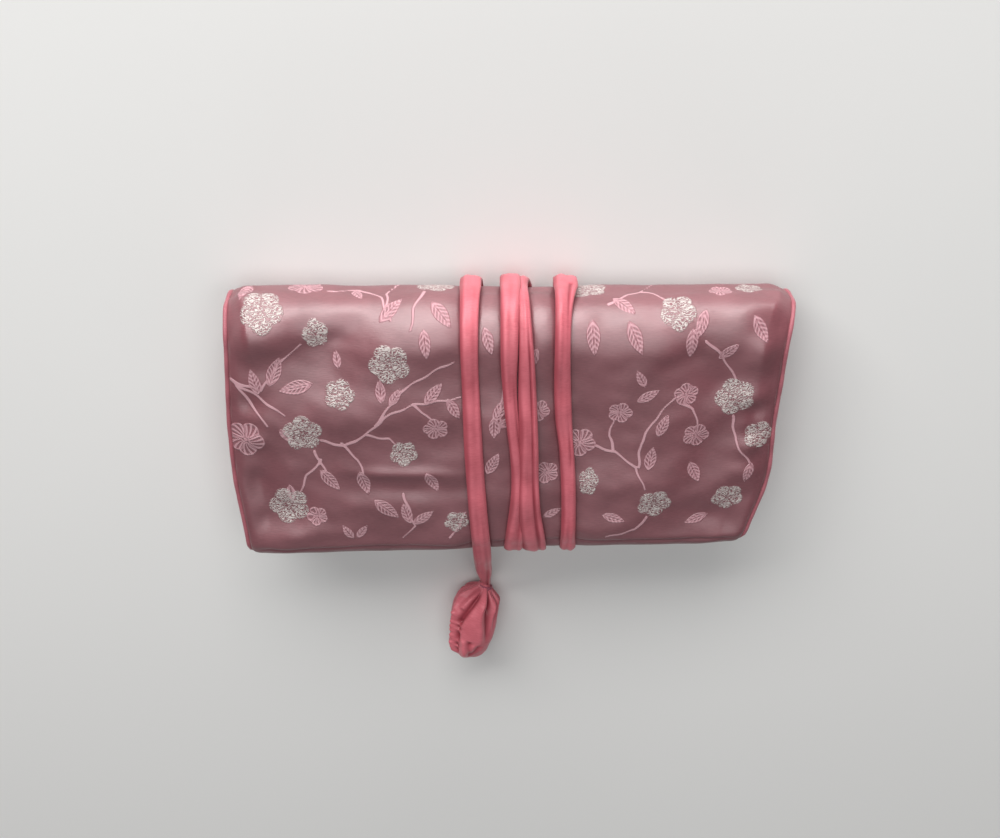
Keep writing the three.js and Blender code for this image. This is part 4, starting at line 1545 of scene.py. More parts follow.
@dataclass(frozen=True)
class Frill:
    """Uneven gathers along a hem: a mean and a wave, whose pace a slower wave bends."""
    mean: float
    height: float
    pace: float
    bend: float
    bend_pace: float

    def at(self, t: Array) -> Array:
        """Heights at shares of the length."""
        return self.mean + self.height * np.sin(t * self.pace + self.bend * np.sin(t * self.bend_pace))


# The bud's radii at hundredths of its length, as shares of half its girth
BUD_STEPS = (0, 5, 9, 17, 33, 50, 66, 82, 92, 98, 100)
BUD_RADII = (0.24, 0.27, 0.48, 0.80, 0.97, 1.0, 0.96, 0.82, 0.60, 0.34, 0.10)
BUD_CREASES = (
    BudCrease(0.06, 0.55, 1.5, -0.75, 1.7, 0.15), BudCrease(0.06, 0.75, 2.0, 0.35, 1.3, 0.16),
    BudCrease(0.05, 0.34, 2.5, 0.25, 1.1, 0.12), BudCrease(0.66, 0.97, 1.45, 0.25, 1.4, 0.14),
    BudCrease(0.70, 0.95, 2.05, -0.3, 0.9, 0.16),
)
# Share of the bud's rows that crowd at its ends
BUD_CROWD = 0.4
# Waves round the bud: how its pleats drift, the pleats and the broad folds, and the folds at its tip
BUD_DRIFT = (0.35, 2, 0.6)
BUD_TWIST = 0.5
BUD_PLEATS = ((1, 9, 0), (0.45, 16, 1.1))
BUD_BROAD = (0.3, 5, 0)
BUD_NECK = (0.0, 0.08)
BUD_TIP_FOLDS = 4
BUD_TIP_DEPTH = 0.75
BUD_TIP_PHASE = 0.8
BUD_TIP_TWIST = 2
# How uneven the hem and the tuck are along the bud
HEM_FRILL = Frill(0.85, 0.2, 47, 2, 17)
HEM_FINE = (0.1, 111, 0)
TUCK_FRILL = Frill(1.0, 0.45, 58, 1.5, 23)
# Share of the bud's unshaded colour, and how that changes with a millimetre of height: painted shade in its
# creases, a lighter colour on its swells
BUD_UNSHADED = 0.86
BUD_SHADE = 0.45
# The bud's gathers along it, its hem and the tuck beside that round it, and the bulge near its tip
BUD_GATHERS = (Bell(0.95, 0.16, 0.13), Bell(0.18, 0.4, 0.2))
BUD_HEM = Bell(1.4, 0.46, 0.11)
BUD_TUCK = Bell(1.3, 0.8, 0.15)
BUD_BULGE = Bell(1.4, 0.3, 0.5)
BUD_END = Bell(1.0, 0.9, 0.08)
BUD_BOW = Bell(1.3, 0.3, 0.28)

Stations = tuple[Array, Array, Array, Array, Array]


@dataclass
class SatinTie(Assembly):
    """The wound satin tie, its free end and the stuffed bud.

    Stations along it hold points, outward directions, widths, tilts in degrees and depths of the side fold.

    Attributes:
        main_fold: pace of the main fold across the satin, how far it bends and the length of the bends.
        side_fold: height of a second fold, its pace across and the length of its slant.
        fine_fold: height of the small folds, their length and their slant.
        left_shade_sway: how far the shade at the left side sways, and over which length.
    """
    form: RollForm
    width: float = 7.6
    thick: float = 2.5
    sides: int = 36
    low: float = 1.2
    reach: float = 50.3
    foot_bend: float = 8.0
    back_bend: float = 10.0
    step: float = 1.2
    ease: float = 26.0
    sewn_at: float = 30.0
    starts: float = 0.8
    leaves: float = 10.0
    above: float = 0.1
    pressed: float = 0.75
    fold_lift: Bell = Bell(0.8, 10, 12)
    hem_drop: float = 0.6
    hem_drop_span: tuple[float, float] = (94, 108)
    sways: tuple[tuple[float, float, float], ...] = ((3.0, 16.0, 1.9), (4.0, 6.5, 1.0))
    sway_in: float = 12.0
    sway_out: float = 16.0
    drift: tuple[float, float] = (0.02, 0.98)
    flatness: tuple[float, float] = (0.94, 1.1)
    gathered: float = 0.45
    fold_height: float = 0.2
    groove_at: float = -0.42
    groove_half: float = 0.13
    main_fold: tuple[float, float, float] = (4.2, 1.4, 31)
    side_fold: tuple[float, float, float] = (0.7, 7.0, 17)
    fine_fold: tuple[float, float, float] = (0.5, 3.1, 2.5)
    # Most of the unshaded colour that the tie keeps; the groove, side and fold shades below are painted shade
    # in its colour.
    unshaded_most: float = 0.95
    groove_shade: float = 1.4
    groove_shade_depth: float = 0.6
    groove_shade_half: float = 0.17
    left_shade: float = 0.62
    left_shade_span: tuple[float, float] = (0.38, 0.86)
    left_shade_sway: tuple[float, float] = (0.1, 9)
    right_shade: float = 0.3
    right_shade_span: tuple[float, float] = (0.7, 1.0)
    fold_shade: float = 0.16
    evenings: int = 4
    seed: int = 5
    phases: float = 6.0
    flat_above: float = 0.2
    tail_width: float = 6.2
    tail_points: int = 40
    tail_root: tuple[int, int] = (1, 14)
    tail_groove: float = 0.4
    tail_sway: tuple[float, float] = (6, 5)
    tail_ease: tuple[float, float] = (0, 0.5)
    tail_neck: tuple[float, float] = (0.5, 1.05)
    curve_steps: int = 20
    bud_length: float = 33.5
    bud_girth: float = 18.4
    bud_lean: float = 15.0
    bud_turns: int = 200
    bud_rows: int = 140
    bud_clear: float = 0.2
    bud_seam: tuple[tuple[float, float], tuple[float, float]] = ((0.24, 0.4), (0.9, 0.99))
    bud_tip: tuple[tuple[float, float], tuple[float, float]] = ((0.72, 0.94), (0.95, 1.0))
    neck: float = 3.6
    bindings: int = 4
    binding_out: float = 0.7
    binding_from: float = 1.0
    binding_pitch: float = 1.7
    binding_points: int = 26
    thread: float = 0.34
    clear: float = 0.05
    route: tuple[tuple[float, float, float], ...] = (
        (-8.2, -52.4, 29.4), (-8.1, -58.2, 25.0), (-7.9, -64.2, 20.2), (-7.7, -70.2, 15.2),
        (-7.5, -75.6, 10.4), (-7.2, -80.8, 6.4),
    )

    def build(self) -> None:
        """Lays the four loops and the free end as one strip, and makes both, the bud and its binding."""
        loops = self.loops()
        count = len(loops[0])
        path = self.curve(loops[0][-1])
        tail = (values[1:] for values in self.tail(path, loops[2][-1]))
        strip = self.ribbon(*(np.concatenate(group) for group in zip(loops, tail)))
        wound = self.length("wound_tie", [values[:count] for values in strip])
        self.dress(wound, "tie", "tie", ("tie_wraps",), "flap")
        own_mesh(wound)
        self.free_end(self.length("tie_free_end", [values[count - 1:] for values in strip]), path)

    def under(self) -> Outline:
        """The way of each loop from the hem down, under the back and up to the top fold.

        Returns:
            Its outline.
        """
        s = self.form.sizes
        foot_z, back_z = self.low + self.foot_bend, self.low + self.back_bend
        foot_y, back_y = -self.reach + self.foot_bend, self.reach - self.back_bend
        return Outline([
            Stretch(-self.reach, s.thickness - s.hem_radius, -self.reach, foot_z, (-1, 0)),
            Stretch(foot_y, foot_z, radius=self.foot_bend, angles=(180, 270)),
            Stretch(foot_y, self.low, back_y, self.low, (0, -1)),
            Stretch(back_y, back_z, radius=self.back_bend, angles=(270, 360)),
            Stretch(self.reach, back_z, self.reach, s.thickness / 2, (1, 0)),
        ])

    def loops(self) -> list[Array]:
        """Stations of the four loops, each of which runs under the roll and then over its front.

        Returns:
            The stations.
        """
        passes = [self.over(strand, number) for number, strand in enumerate(STRANDS)]
        parts = []
        for number, after in enumerate(passes):
            before = passes[number - 1] if number else after
            skip = 0.0 if number else self.sewn_at
            parts += [self.below(before[0][-1], after[0][0], (before[2][-1], after[2][0]), skip), after]
        loops = [np.concatenate(group) for group in zip(*parts)]
        for _ in range(self.evenings):
            points = loops[0]
            inner = points[:-2] * 0.25 + points[1:-1] * 0.5 + points[2:] * 0.25
            loops[0] = np.vstack([points[:1], inner, points[-1:]])
        return loops

    def over(self, strand: Strand, number: int) -> Stations:
        """Stations of one pass over the front, from the top fold to the hem.

        Args:
            strand: the pass.
            number: its number, which varies its sway.

        Returns:
            The stations.
        """
        f = self.form
        hem = f.hem - (self.leaves if strand is STRANDS[-1] else 0.0)
        w = np.linspace(self.starts, hem, round(hem / self.step))
        v = w + f.top_middle
        x = strand.place(w) - f.lean(v)
        lift = self.thick / 2 + self.above + flow(w, STRAND_STEPS, strand.lift) + self.fold_lift.at(w)
        lift = lift - self.hem_drop * smooth(w, *self.hem_drop_span)
        pressed = f.squeeze(x, v) * self.pressed - f.swell(x, v)
        points, out = f.place(x, v, pressed * smooth(f.to_edge(x, v), 0, f.sizes.edge_fade) - lift)
        sway = sum(height * np.sin(w / length + number * shift) for height, length, shift in self.sways)
        free = smooth(w, 0, self.sway_in) * (1 - smooth(w, hem - self.sway_out, hem))
        tilt = (sway + flow(w, STRAND_STEPS, strand.roll)) * free
        return points, out, strand.reach(w), tilt, flow(w, STRAND_STEPS, strand.groove)

    def below(self, start: Array, end: Array, widths: tuple[float, float], skip: float) -> Stations:
        """Stations of one run under the roll, which starts and ends where the passes over it do.

        Args:
            start: where the pass before ends.
            end: where the pass after starts.
            widths: widths at both ends.
            skip: how much of the run is left out at its start, where the tie is sewn on.

        Returns:
            The stations.
        """
        under = self.under()
        v = np.linspace(skip, under.length - self.step, round((under.length - skip) / self.step))
        y, z, ny, nz = under.at(v)
        x = start[0] + (end[0] - start[0]) * smooth(v / under.length, *self.drift)
        first = 1 - smooth(v, 0, self.ease)
        last = smooth(v, under.length - self.ease, under.length)
        away = np.array(under.at(np.array([0.0, under.length])))[:2]
        y, z = (line + first * (start[i + 1] - away[i, 0]) + last * (end[i + 1] - away[i, 1])
                for i, line in enumerate((y, z)))
        width = self.width + (widths[0] - self.width) * first + (widths[1] - self.width) * last
        still = np.zeros(len(v))
        return np.stack([x, y, z], -1), np.stack([still, ny, nz], -1), width, still, still

    def tail(self, path: Array, hem: float) -> Stations:
        """Stations of the free end along its path, as wide at first as the last loop is at the hem.

        Args:
            path: points along it.
            hem: width of the last loop where it ends.

        Returns:
            The stations.
        """
        ahead = np.gradient(path, axis=0)
        share = np.linspace(0, 1, len(path))
        outs = unit(np.stack([0 * share, ahead[:, 2], -ahead[:, 1]], -1))
        widths = hem + (self.tail_width - hem) * smooth(share, *self.tail_ease)
        widths = widths + (self.neck - self.tail_width) * smooth(share, *self.tail_neck)
        tilts = self.tail_sway[0] * np.sin(share * self.tail_sway[1])
        return path, outs, widths, tilts, self.tail_groove + 0 * share

    def curve(self, end: Array) -> Array:
        """Lays a smooth curve along the free end's route.

        Args:
            end: where the last loop ends.

        Returns:
            Even points along it.
        """
        knots = np.vstack([end, self.route])
        padded = np.vstack([2 * knots[0] - knots[1], knots, 2 * knots[-1] - knots[-2]])
        t = np.linspace(0, 1, self.curve_steps, endpoint=False)[:, None]
        fine = []
        for a, b, c, d in zip(padded[:-3], padded[1:-2], padded[2:-1], padded[3:]):
            cubic = (2 * a - 5 * b + 4 * c - d) * t ** 2 + (3 * b - a - 3 * c + d) * t ** 3
            fine.append(0.5 * (2 * b + (c - a) * t + cubic))
        fine = np.vstack(fine + [knots[-1:]])
        run = run_of(fine)
        even = np.linspace(0, run[-1], self.tail_points)
        return np.stack([np.interp(even, run, fine[:, i]) for i in range(3)], -1)

    def ribbon(self, points: Array, outs: Array, widths: Array, tilts: Array,
               grooves: Array) -> tuple[Array, Array, Array]:
        """Rings of a flattened satin tube with soft folds along it.

        Args:
            points: stations along its middle.
            outs: outward directions there.
            widths: its width at each station.
            tilts: how far it rolls to a side, in degrees.
            grooves: depths of the fold along its right side.

        Returns:
            The rings, the places on the flat cloth, and the share of unshaded colour at each place, from 0 to
            1, which paints shade in the groove, at the sides and between the folds.
        """
        ahead = unit(np.gradient(points, axis=0))
        across = unit(np.cross(ahead, outs))
        up = np.cross(across, ahead)
        roll = np.radians(tilts)[:, None]
        across, up = across * np.cos(roll) + up * np.sin(roll), up * np.cos(roll) - across * np.sin(roll)
        angles = np.linspace(0, FULL_TURN, self.sides, endpoint=False)
        c, s = np.cos(angles), np.sin(angles)
        wide, high = ((np.sign(part) * np.abs(part) ** power)[None, :]
                      for part, power in zip((c, s), self.flatness))
        upper = (s > 0)[None, :]
        run, grooves, widths = run_of(points)[:, None], grooves[:, None], widths[:, None]
        first, second = np.random.default_rng(self.seed).uniform(0, self.phases, 2)
        pace, bend, bend_length = self.main_fold
        fold = np.sin(wide * pace + bend * np.sin(run / bend_length + first) + second)
        side_height, side_pace, slant_length = self.side_fold
        fold = fold + side_height * np.sin(wide * side_pace - run / slant_length + first)
        fine_height, fine_length, fine_slant = self.fine_fold
        fold = fold + fine_height * np.sin(run / fine_length + wide * fine_slant)
        crease = self.fold_height * fold * (1 - wide ** 2) * upper
        crease = crease - grooves * bump(wide, self.groove_at, self.groove_half) * upper
        height = self.thick / 2 * (self.width / widths) ** self.gathered * high + crease
        rings = points[:, None, :] + across[:, None, :] * (wide * widths / 2)[..., None]
        rings = rings + up[:, None, :] * height[..., None]
        rings[..., 2] = np.maximum(rings[..., 2], self.clear)
        places = np.stack(np.broadcast_arrays(wide * self.width / 2, run), -1)
        # Painted shade: darker in the side fold's groove, along the left side and at the right edge, darker
        # between the small folds and lighter on their crests.
        in_groove = self.groove_shade * np.clip(grooves, 0, self.groove_shade_depth)
        in_groove = in_groove * bump(wide, self.groove_at, self.groove_shade_half)
        sway, sway_length = self.left_shade_sway
        left_side = smooth(wide + sway * np.sin(run / sway_length + second), *self.left_shade_span)
        right_side = self.right_shade * smooth(-wide, *self.right_shade_span)
        in_folds = self.fold_shade * fold * (1 - wide ** 2)
        shade = in_groove + self.left_shade * left_side + right_side - in_folds
        return rings, places, np.clip(self.unshaded_most - shade, 0, 1)

    def length(self, name: str, strip: Sequence[Array]) -> Object:
        """Makes one length of satin.

        Args:
            name: the piece's name.
            strip: its rings, their places on the cloth and the share of unshaded colour at each, which holds
                painted shade.

        Returns:
            The piece.
        """
        rings, places, unshaded = strip
        piece = Meshes.rings(name, [(rings, places)])
        # Stores the painted shade, as a share of the unshaded colour, for the material.
        Meshes.paint(piece, "unshaded_share", unshaded.ravel())
        return piece

    def free_end(self, tail: Object, path: Array) -> None:
        """Dresses the free end, and makes the bud and its binding, which ride on the tie's end.

        Args:
            tail: the free end.
            path: not used.
        """
        bud, binding = self.bud(), self.binding()
        self.dress(tail, "tie", "tie", ("tie_tail",))
        self.dress(bud, "tie", "tie", ("bud",), "tie_end")
        self.dress(binding, "thread", "thread", ("bud_binding",), "tie_end")
        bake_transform(tail)

    def bud_frame(self) -> tuple[Array, Array, Array, Array]:
        """Start of the bud and its directions along, across and up.

        Returns:
            The start and the directions.
        """
        neck = np.array(self.route[-1])
        lean = math.radians(self.bud_lean)
        rise = (self.bud_girth / 2 + self.bud_clear - neck[2]) / (self.bud_length / 2)
        along = unit(np.array([-math.sin(lean), -math.cos(lean), rise]))
        across = unit(np.cross(along, [0, 0, 1.0]))
        return neck, along, across, np.cross(across, along)

    def bud(self) -> Object:
        """Makes the stuffed bud: gathered at its neck, creased, and folded over a seam along one side.

        Returns:
            The bud.
        """
        start, along, across, up = self.bud_frame()
        angle = np.linspace(0, FULL_TURN, self.bud_turns, endpoint=False)[None, :]
        even = np.linspace(0.0, 1.0, self.bud_rows)[:, None]
        t = smooth(even, 0, 1) * BUD_CROWD + even * (1 - BUD_CROWD)
        radius = flow(t * 100, BUD_STEPS, BUD_RADII, 3.0) * self.bud_girth / 2
        shift = angle + waves(angle, BUD_DRIFT) + BUD_TWIST * t
        pleat = waves(shift, *BUD_PLEATS) + waves(angle, BUD_BROAD)
        body = radius + sum(bell.at(t) for bell in BUD_GATHERS) * pleat * smooth(t, *BUD_NECK)
        body = body + sum(crease.height(t, angle) for crease in BUD_CREASES)
        seam, tip = (smooth(t, *rise) * (1 - smooth(t, *fall))
                     for rise, fall in (self.bud_seam, self.bud_tip))
        frill = HEM_FRILL.at(t) + waves(t, HEM_FINE)
        tuck = TUCK_FRILL.at(t)
        hem, beside, bulge = (bell.height * bump(turn_to(angle, bell.centre), 0, bell.reach)
                              for bell in (BUD_HEM, BUD_TUCK, BUD_BULGE))
        body = body + seam * (frill * hem - tuck * beside)
        body = body + bulge * BUD_END.at(t)
        end_folds = np.sin(BUD_TIP_FOLDS * angle + BUD_TIP_PHASE + BUD_TIP_TWIST * t)
        body = np.maximum(body + tip * BUD_TIP_DEPTH * end_folds, self.clear)
        rings = start + along * (t * self.bud_length)[..., None] + across * BUD_BOW.at(t)[..., None]
        rings = rings + across * (body * np.cos(angle))[..., None] + up * (body * np.sin(angle))[..., None]
        rings[..., 2] = np.maximum(rings[..., 2], self.clear)
        places = np.stack(np.broadcast_arrays(angle * self.bud_girth / 2, t * self.bud_length), -1)
        # Painted shade: darker where the cloth lies below the bud's plain radius, in creases and pleats,
        # lighter where it swells.
        unshaded = np.clip(BUD_UNSHADED + BUD_SHADE * (body - radius), 0, 1)
        return self.length("stuffed_bud", (rings, places, unshaded))

    def binding(self) -> Object:
        """Makes the thread wound round the bud's neck.

        Returns:
            The thread.
        """
        start, along, across, up = self.bud_frame()
        radius = self.neck / 2 + self.binding_out
        angle = np.linspace(0, self.bindings * FULL_TURN, self.bindings * self.binding_points)[:, None]
        drop = self.binding_from + angle / FULL_TURN * self.thread * self.binding_pitch
        points = start + along * drop + radius * (across * np.cos(angle) + up * np.sin(angle))
        return Meshes.tubes("bud_binding_thread", [points], self.thread, 8)


class Bench:
    """Steps that the hard pieces share, done with Blender's own operators."""
    bevel_steps = 3
    smooth_angle = math.radians(40)

    @staticmethod
    def add(shape: Callable[..., object], middle: Array, scale: Sequence[float] = (1, 1, 1),
            **options: float) -> Object:
        """Adds a shape and opens it for editing, with all of it selected.

        Args:
            shape: the operator that adds it.
            middle: its middle.
            scale: its scale.
            options: the operator's options.

        Returns:
            The piece.
        """
        bpy.ops.object.select_all(action="DESELECT")
        shape(location=tuple(middle * MM), **options)
        piece = bpy.context.object
        piece.scale = tuple(scale)
        bpy.ops.object.transform_apply(location=True, rotation=True, scale=True)
        Bench.edit()
        return piece

    @staticmethod
    def edit() -> None:
        """Opens the active piece for editing, with all of it selected."""
        bpy.ops.object.mode_set(mode="EDIT")
        bpy.ops.mesh.select_all(action="SELECT")

    @staticmethod
    def block(low: Array, high: Array) -> Object:
        """Adds a block that fills a box."""
        return Bench.add(bpy.ops.mesh.primitive_cube_add, (low + high) / 2, (high - low) * MM, size=1.0)

    @staticmethod
    def apply(piece: Object, kind: str, **values: object) -> None:
        """Leaves edit mode and applies one modifier.

        Args:
            piece: the piece.
            kind: the modifier's type.
            values: its settings.
        """
        bpy.ops.object.mode_set(mode="OBJECT")
        modifier = piece.modifiers.new(kind, kind)
        for key, value in values.items():
            setattr(modifier, key, value)
        bpy.ops.object.modifier_apply(modifier=modifier.name)

    @staticmethod
    def soften(piece: Object, width: float) -> Object:
        """Turns what is selected outwards, leaves edit mode and rounds the edges.

        Args:
            piece: the piece.
            width: how far the edges are cut back.

        Returns:
            The piece.
        """
        bpy.ops.mesh.normals_make_consistent(inside=False)
        Bench.apply(piece, "BEVEL", width=width * MM, segments=Bench.bevel_steps, limit_method="ANGLE")
        bpy.ops.object.shade_smooth_by_angle(angle=Bench.smooth_angle)
        return piece


@dataclass
class Pocket(Assembly):
    """A flat satin pocket, sewn to the panel of its name and facing up or down, 1 or -1."""
    name: str
    face: int
    step: float = 2.0
    swell: float = 0.35
    soft_edge: tuple[float, float] = (8, 5)
    thick_share: float = 0.75
    inset: float = 1.4
    stitch: float = 2.0
    stitch_gap: float = 1.0
    stitch_dip: float = 0.12
    stitch_lift: float = 0.1
    thread: float = 0.2
    thread_sides: int = 5
    ripples: tuple[Ripple, Ripple] = (Ripple(0.5, 34, 31), Ripple(0.06, 9, 32))

    def build(self) -> None:
        """Makes the pocket's cloth and the stitches round it."""
        node = f"{self.name}_pocket"
        low, high = box_of(node)
        piece = self.panel(node, self.step, self.swell, f"{node}_satin", self.ripples)
        self.dress(piece, "lining", "lining", (node,), self.name)
        stitches = Meshes.tubes(f"{node}_stitches", self.stitches(low, high), self.thread,
                                self.thread_sides)
        self.dress(stitches, "thread", "thread", body=self.name)

    def top(self, low: Array, high: Array) -> float:
        """Height of the side of a box that faces out."""
        return high[2] if self.face > 0 else low[2]

    def panel(self, node: str, step: float, swell: float, name: str,
              ripples: tuple[Ripple, Ripple]) -> Object:
        """A soft flat sheet in a node's box.

        Args:
            node: the node whose box it fills.
            step: size of the mesh's steps.
            swell: how far its middle stands out.
            name: the piece's name.
            ripples: unevenness of its swell and of its face.

        Returns:
            The sheet.
        """
        low, high = box_of(node)
        y, x = np.meshgrid(*(np.linspace(low[i], high[i], Meshes.steps(high[i] - low[i], step) + 1)
                             for i in (1, 0)), indexing="ij")
        edge = np.minimum(*(np.minimum(place - low[i], high[i] - place) / self.soft_edge[i]
                            for i, place in enumerate((x, y))))
        soft, fine = (ripple.at(x, y) for ripple in ripples)
        puff = smooth(edge, 0, 1) * swell * (1 + soft) + fine
        front = np.stack([x, y, self.top(low, high) + self.face * puff], -1)
        out = np.broadcast_to((0.0, 0.0, self.face), front.shape)
        return Meshes.sheet(name, front, out, (high[2] - low[2]) * self.thick_share, np.stack([x, y], -1))

    def stitches(self, low: Array, high: Array) -> list[Array]:
        """Routes of a row of small stitches inside three edges of the pocket's box.

        Args:
            low: low corner of the box.
            high: high corner of the box.

        Returns:
            Three points for each stitch.
        """
        height = self.top(low, high) + self.face * self.stitch_dip
        (x0, y0), (x1, y1) = low[:2] + self.inset, high[:2] - self.inset
        corners = np.array([(x0, y1), (x0, y0), (x1, y0), (x1, y1)])
        pitch = self.stitch + self.stitch_gap
        rises = np.array((-self.stitch_dip, self.stitch_lift, -self.stitch_dip))
        routes = []
        for a, b in zip(corners[:-1], corners[1:]):
            length = np.hypot(*(b - a))
            for i in range(int(length / pitch)):
                share = (i * pitch + np.array((0, 0.5, 1)) * self.stitch) / length
                routes.append(np.column_stack([a + np.outer(share, b - a), height + self.face * rises]))
        return routes


@dataclass
class ZipPocket(Pocket):
    """A flat satin pocket with a nylon zip, whose slider has a body of its own."""
    tape_step: float = 1.2
    coil_pitch: float = 1.3
    wire: float = 0.3
    coil_points: int = 10
    tape_ripples: tuple[Ripple, Ripple] = (Ripple(0.5, 34, 41), Ripple(0.06, 9, 42))
    models: dict[str, tuple[Object, str]] = field(default_factory=dict)

    def build(self) -> None:
        """Makes the pocket, its stitches and its zip."""
        super().build()
        zipper, slider_body = f"{self.name}_zip", f"{self.name}_slider"
        for word in ("upper", "lower"):
            tape, coil = f"{zipper}_tape_{word}", f"{zipper}_coil_{word}"
            woven = self.panel(tape, self.tape_step, 0.0, f"{tape}_woven", self.tape_ripples)
            self.dress(woven, "tape", "zip_tape", (tape,), self.name)
            self.dress(self.coil(coil), "nylon", "zip_coil", (coil,), self.name)
        for word in ("left", "right"):
            self.hard("stop", f"{zipper}_stop_{word}", "plate", self.name, self.stop)
        self.hard("slider", f"{zipper}_slider", "body", slider_body, self.slider)
        self.hard("pull", f"{zipper}_pull", "plate", slider_body, self.pull)

    def hard(self, kind: str, node: str, word: str, body: str,
             model: Callable[[Array, Array], Object]) -> None:
        """Makes a hard piece: modelled for the first node of its kind, then copied with a mesh of its own.

        Args:
            kind: what the piece is; pieces of one kind are alike.
            node: the node that it stands for.
            word: added to the node's name for the name of the piece.
            body: the body that it rides on.
            model: models the piece in a box, facing up.
        """
        name = f"{node}_{word}"
        if kind in self.models:
            first, first_node = self.models[kind]
            piece = put(name, first.data.copy())
            turn = Matrix.Rotation(0.0 if self.face > 0 else math.pi, 4, "Y")
            was, now = (sum((Vector(corner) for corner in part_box(each)), Vector()) / 2
                        for each in (first_node, node))
            piece.data.transform(Matrix.Translation(now - turn @ was) @ turn)
        else:
            piece = model(*box_of(node))
            self.models[kind] = (piece, node)
        piece.name = piece.data.name = name
        self.dress(piece, "metal", "metal", (node,), body)

    def coil(self, node: str) -> Object:
        """Makes one coil row as a wound nylon wire.

        Args:
            node: the node that it stands for.

        Returns:
            The wire.
        """
        low, high = box_of(node)
        middle, half = (low + high) / 2, (high - low) / 2 - self.wire
        turns = int((high[0] - low[0] - 2 * self.wire) / self.coil_pitch)
        angle = np.linspace(0, turns * FULL_TURN, turns * self.coil_points)
        x = np.linspace(low[0] + self.wire, high[0] - self.wire, len(angle))
        route = np.stack([x, middle[1] + half[1] * np.cos(angle), middle[2] + half[2] * np.sin(angle)], -1)
        return Meshes.tubes(f"{node}_wire", [route], self.wire, self.thread_sides)

    @staticmethod
    def stop(low: Array, high: Array) -> Object:
        """Models an end stop: a small clamped plate, pinched in its middle.

        Args:
            low: low corner of its box.
            high: high corner of its box.

        Returns:
            The stop.
        """
        half_pinch, pinch, near, rounded = 0.8, 0.35, 0.1, 0.18
        piece = Bench.block(low, high)
        bpy.ops.mesh.subdivide(number_cuts=2)
        work = bmesh.from_edit_mesh(piece.data)
        middle, top = (low[1] + high[1]) / 2, high[2]
        for corner in work.verts:
            place = corner.co / MM
            corner.select_set(bool(abs(place.y - middle) < half_pinch and abs(place.z - top) < near))
        work.select_flush_mode()
        bmesh.update_edit_mesh(piece.data)
        bpy.ops.transform.translate(value=(0, 0, -pinch * MM))
        return Bench.soften(piece, rounded)

    @staticmethod
    def slider(low: Array, high: Array) -> Object:
        """Models the slider: two plates on a post, flanges along the upper one and a loop for the pull.

        Args:
            low: low corner of its box.
            high: high corner of its box.

        Returns:
            The slider.
        """
        plate, flange, plate_round, part_round = 0.8, 1.9, 0.22, 0.16
        post_half, post_in, post_length, sunk = 0.45, 0.4, 4.1, 0.2
        loop_half, loop_sunk, loop_high = 0.6, 0.1, 0.55
        loop_thick, loop_from_start, loop_from_end = 1.0, 1.2, 2.2
        (x0, y0, bottom), (x1, y1, top) = low, high
        middle = (y0 + y1) / 2
        loop_low = (middle - loop_half, top - loop_sunk)
        loop_top = (middle + loop_half, top + loop_high)
        boxes = [
            ((x0, y0, top - plate), (x1, y1, top)),
            ((x0, y0 + plate, bottom), (x1, y1 - plate, bottom + plate)),
            ((x0 + post_in, middle - post_half, bottom + sunk),
             (x0 + post_in + post_length, middle + post_half, top - sunk)),
            ((x0, y0, top - flange), (x1, y0 + plate, top)),
            ((x0, y1 - plate, top - flange), (x1, y1, top)),
        ]
        for place in (x0 + loop_from_start, x1 - loop_from_end):
            boxes.append(((place, *loop_low), (place + loop_thick, *loop_top)))
        parts = [Bench.soften(Bench.block(np.array(a), np.array(b)), part_round if i > 1 else plate_round)
                 for i, (a, b) in enumerate(boxes)]
        bpy.ops.object.select_all(action="DESELECT")
        for part in parts:
            part.select_set(True)
        bpy.context.view_layer.objects.active = parts[0]
        bpy.ops.object.join()
        return parts[0]

    @staticmethod
    def pull(low: Array, high: Array) -> Object:
        """Models the pull: a rounded plate with a long opening.

        Args:
            low: low corner of its box.
            high: high corner of its box.

        Returns:
            The pull.
        """
        corner, corner_steps, rim, rounded = 2.0, 7, 1.35, 0.2
        piece = Bench.add(bpy.ops.mesh.primitive_plane_add, (low + high) / 2, (high - low) * MM, size=1.0)
        bpy.ops.mesh.bevel(offset=corner * MM, segments=corner_steps, affect="VERTICES")
        bpy.ops.mesh.select_all(action="SELECT")
        bpy.ops.mesh.inset(thickness=rim * MM)
        bpy.ops.mesh.delete(type="FACE")
        Bench.apply(piece, "SOLIDIFY", thickness=(high[2] - low[2]) * MM, offset=0)
        Bench.edit()
        return Bench.soften(piece, rounded)


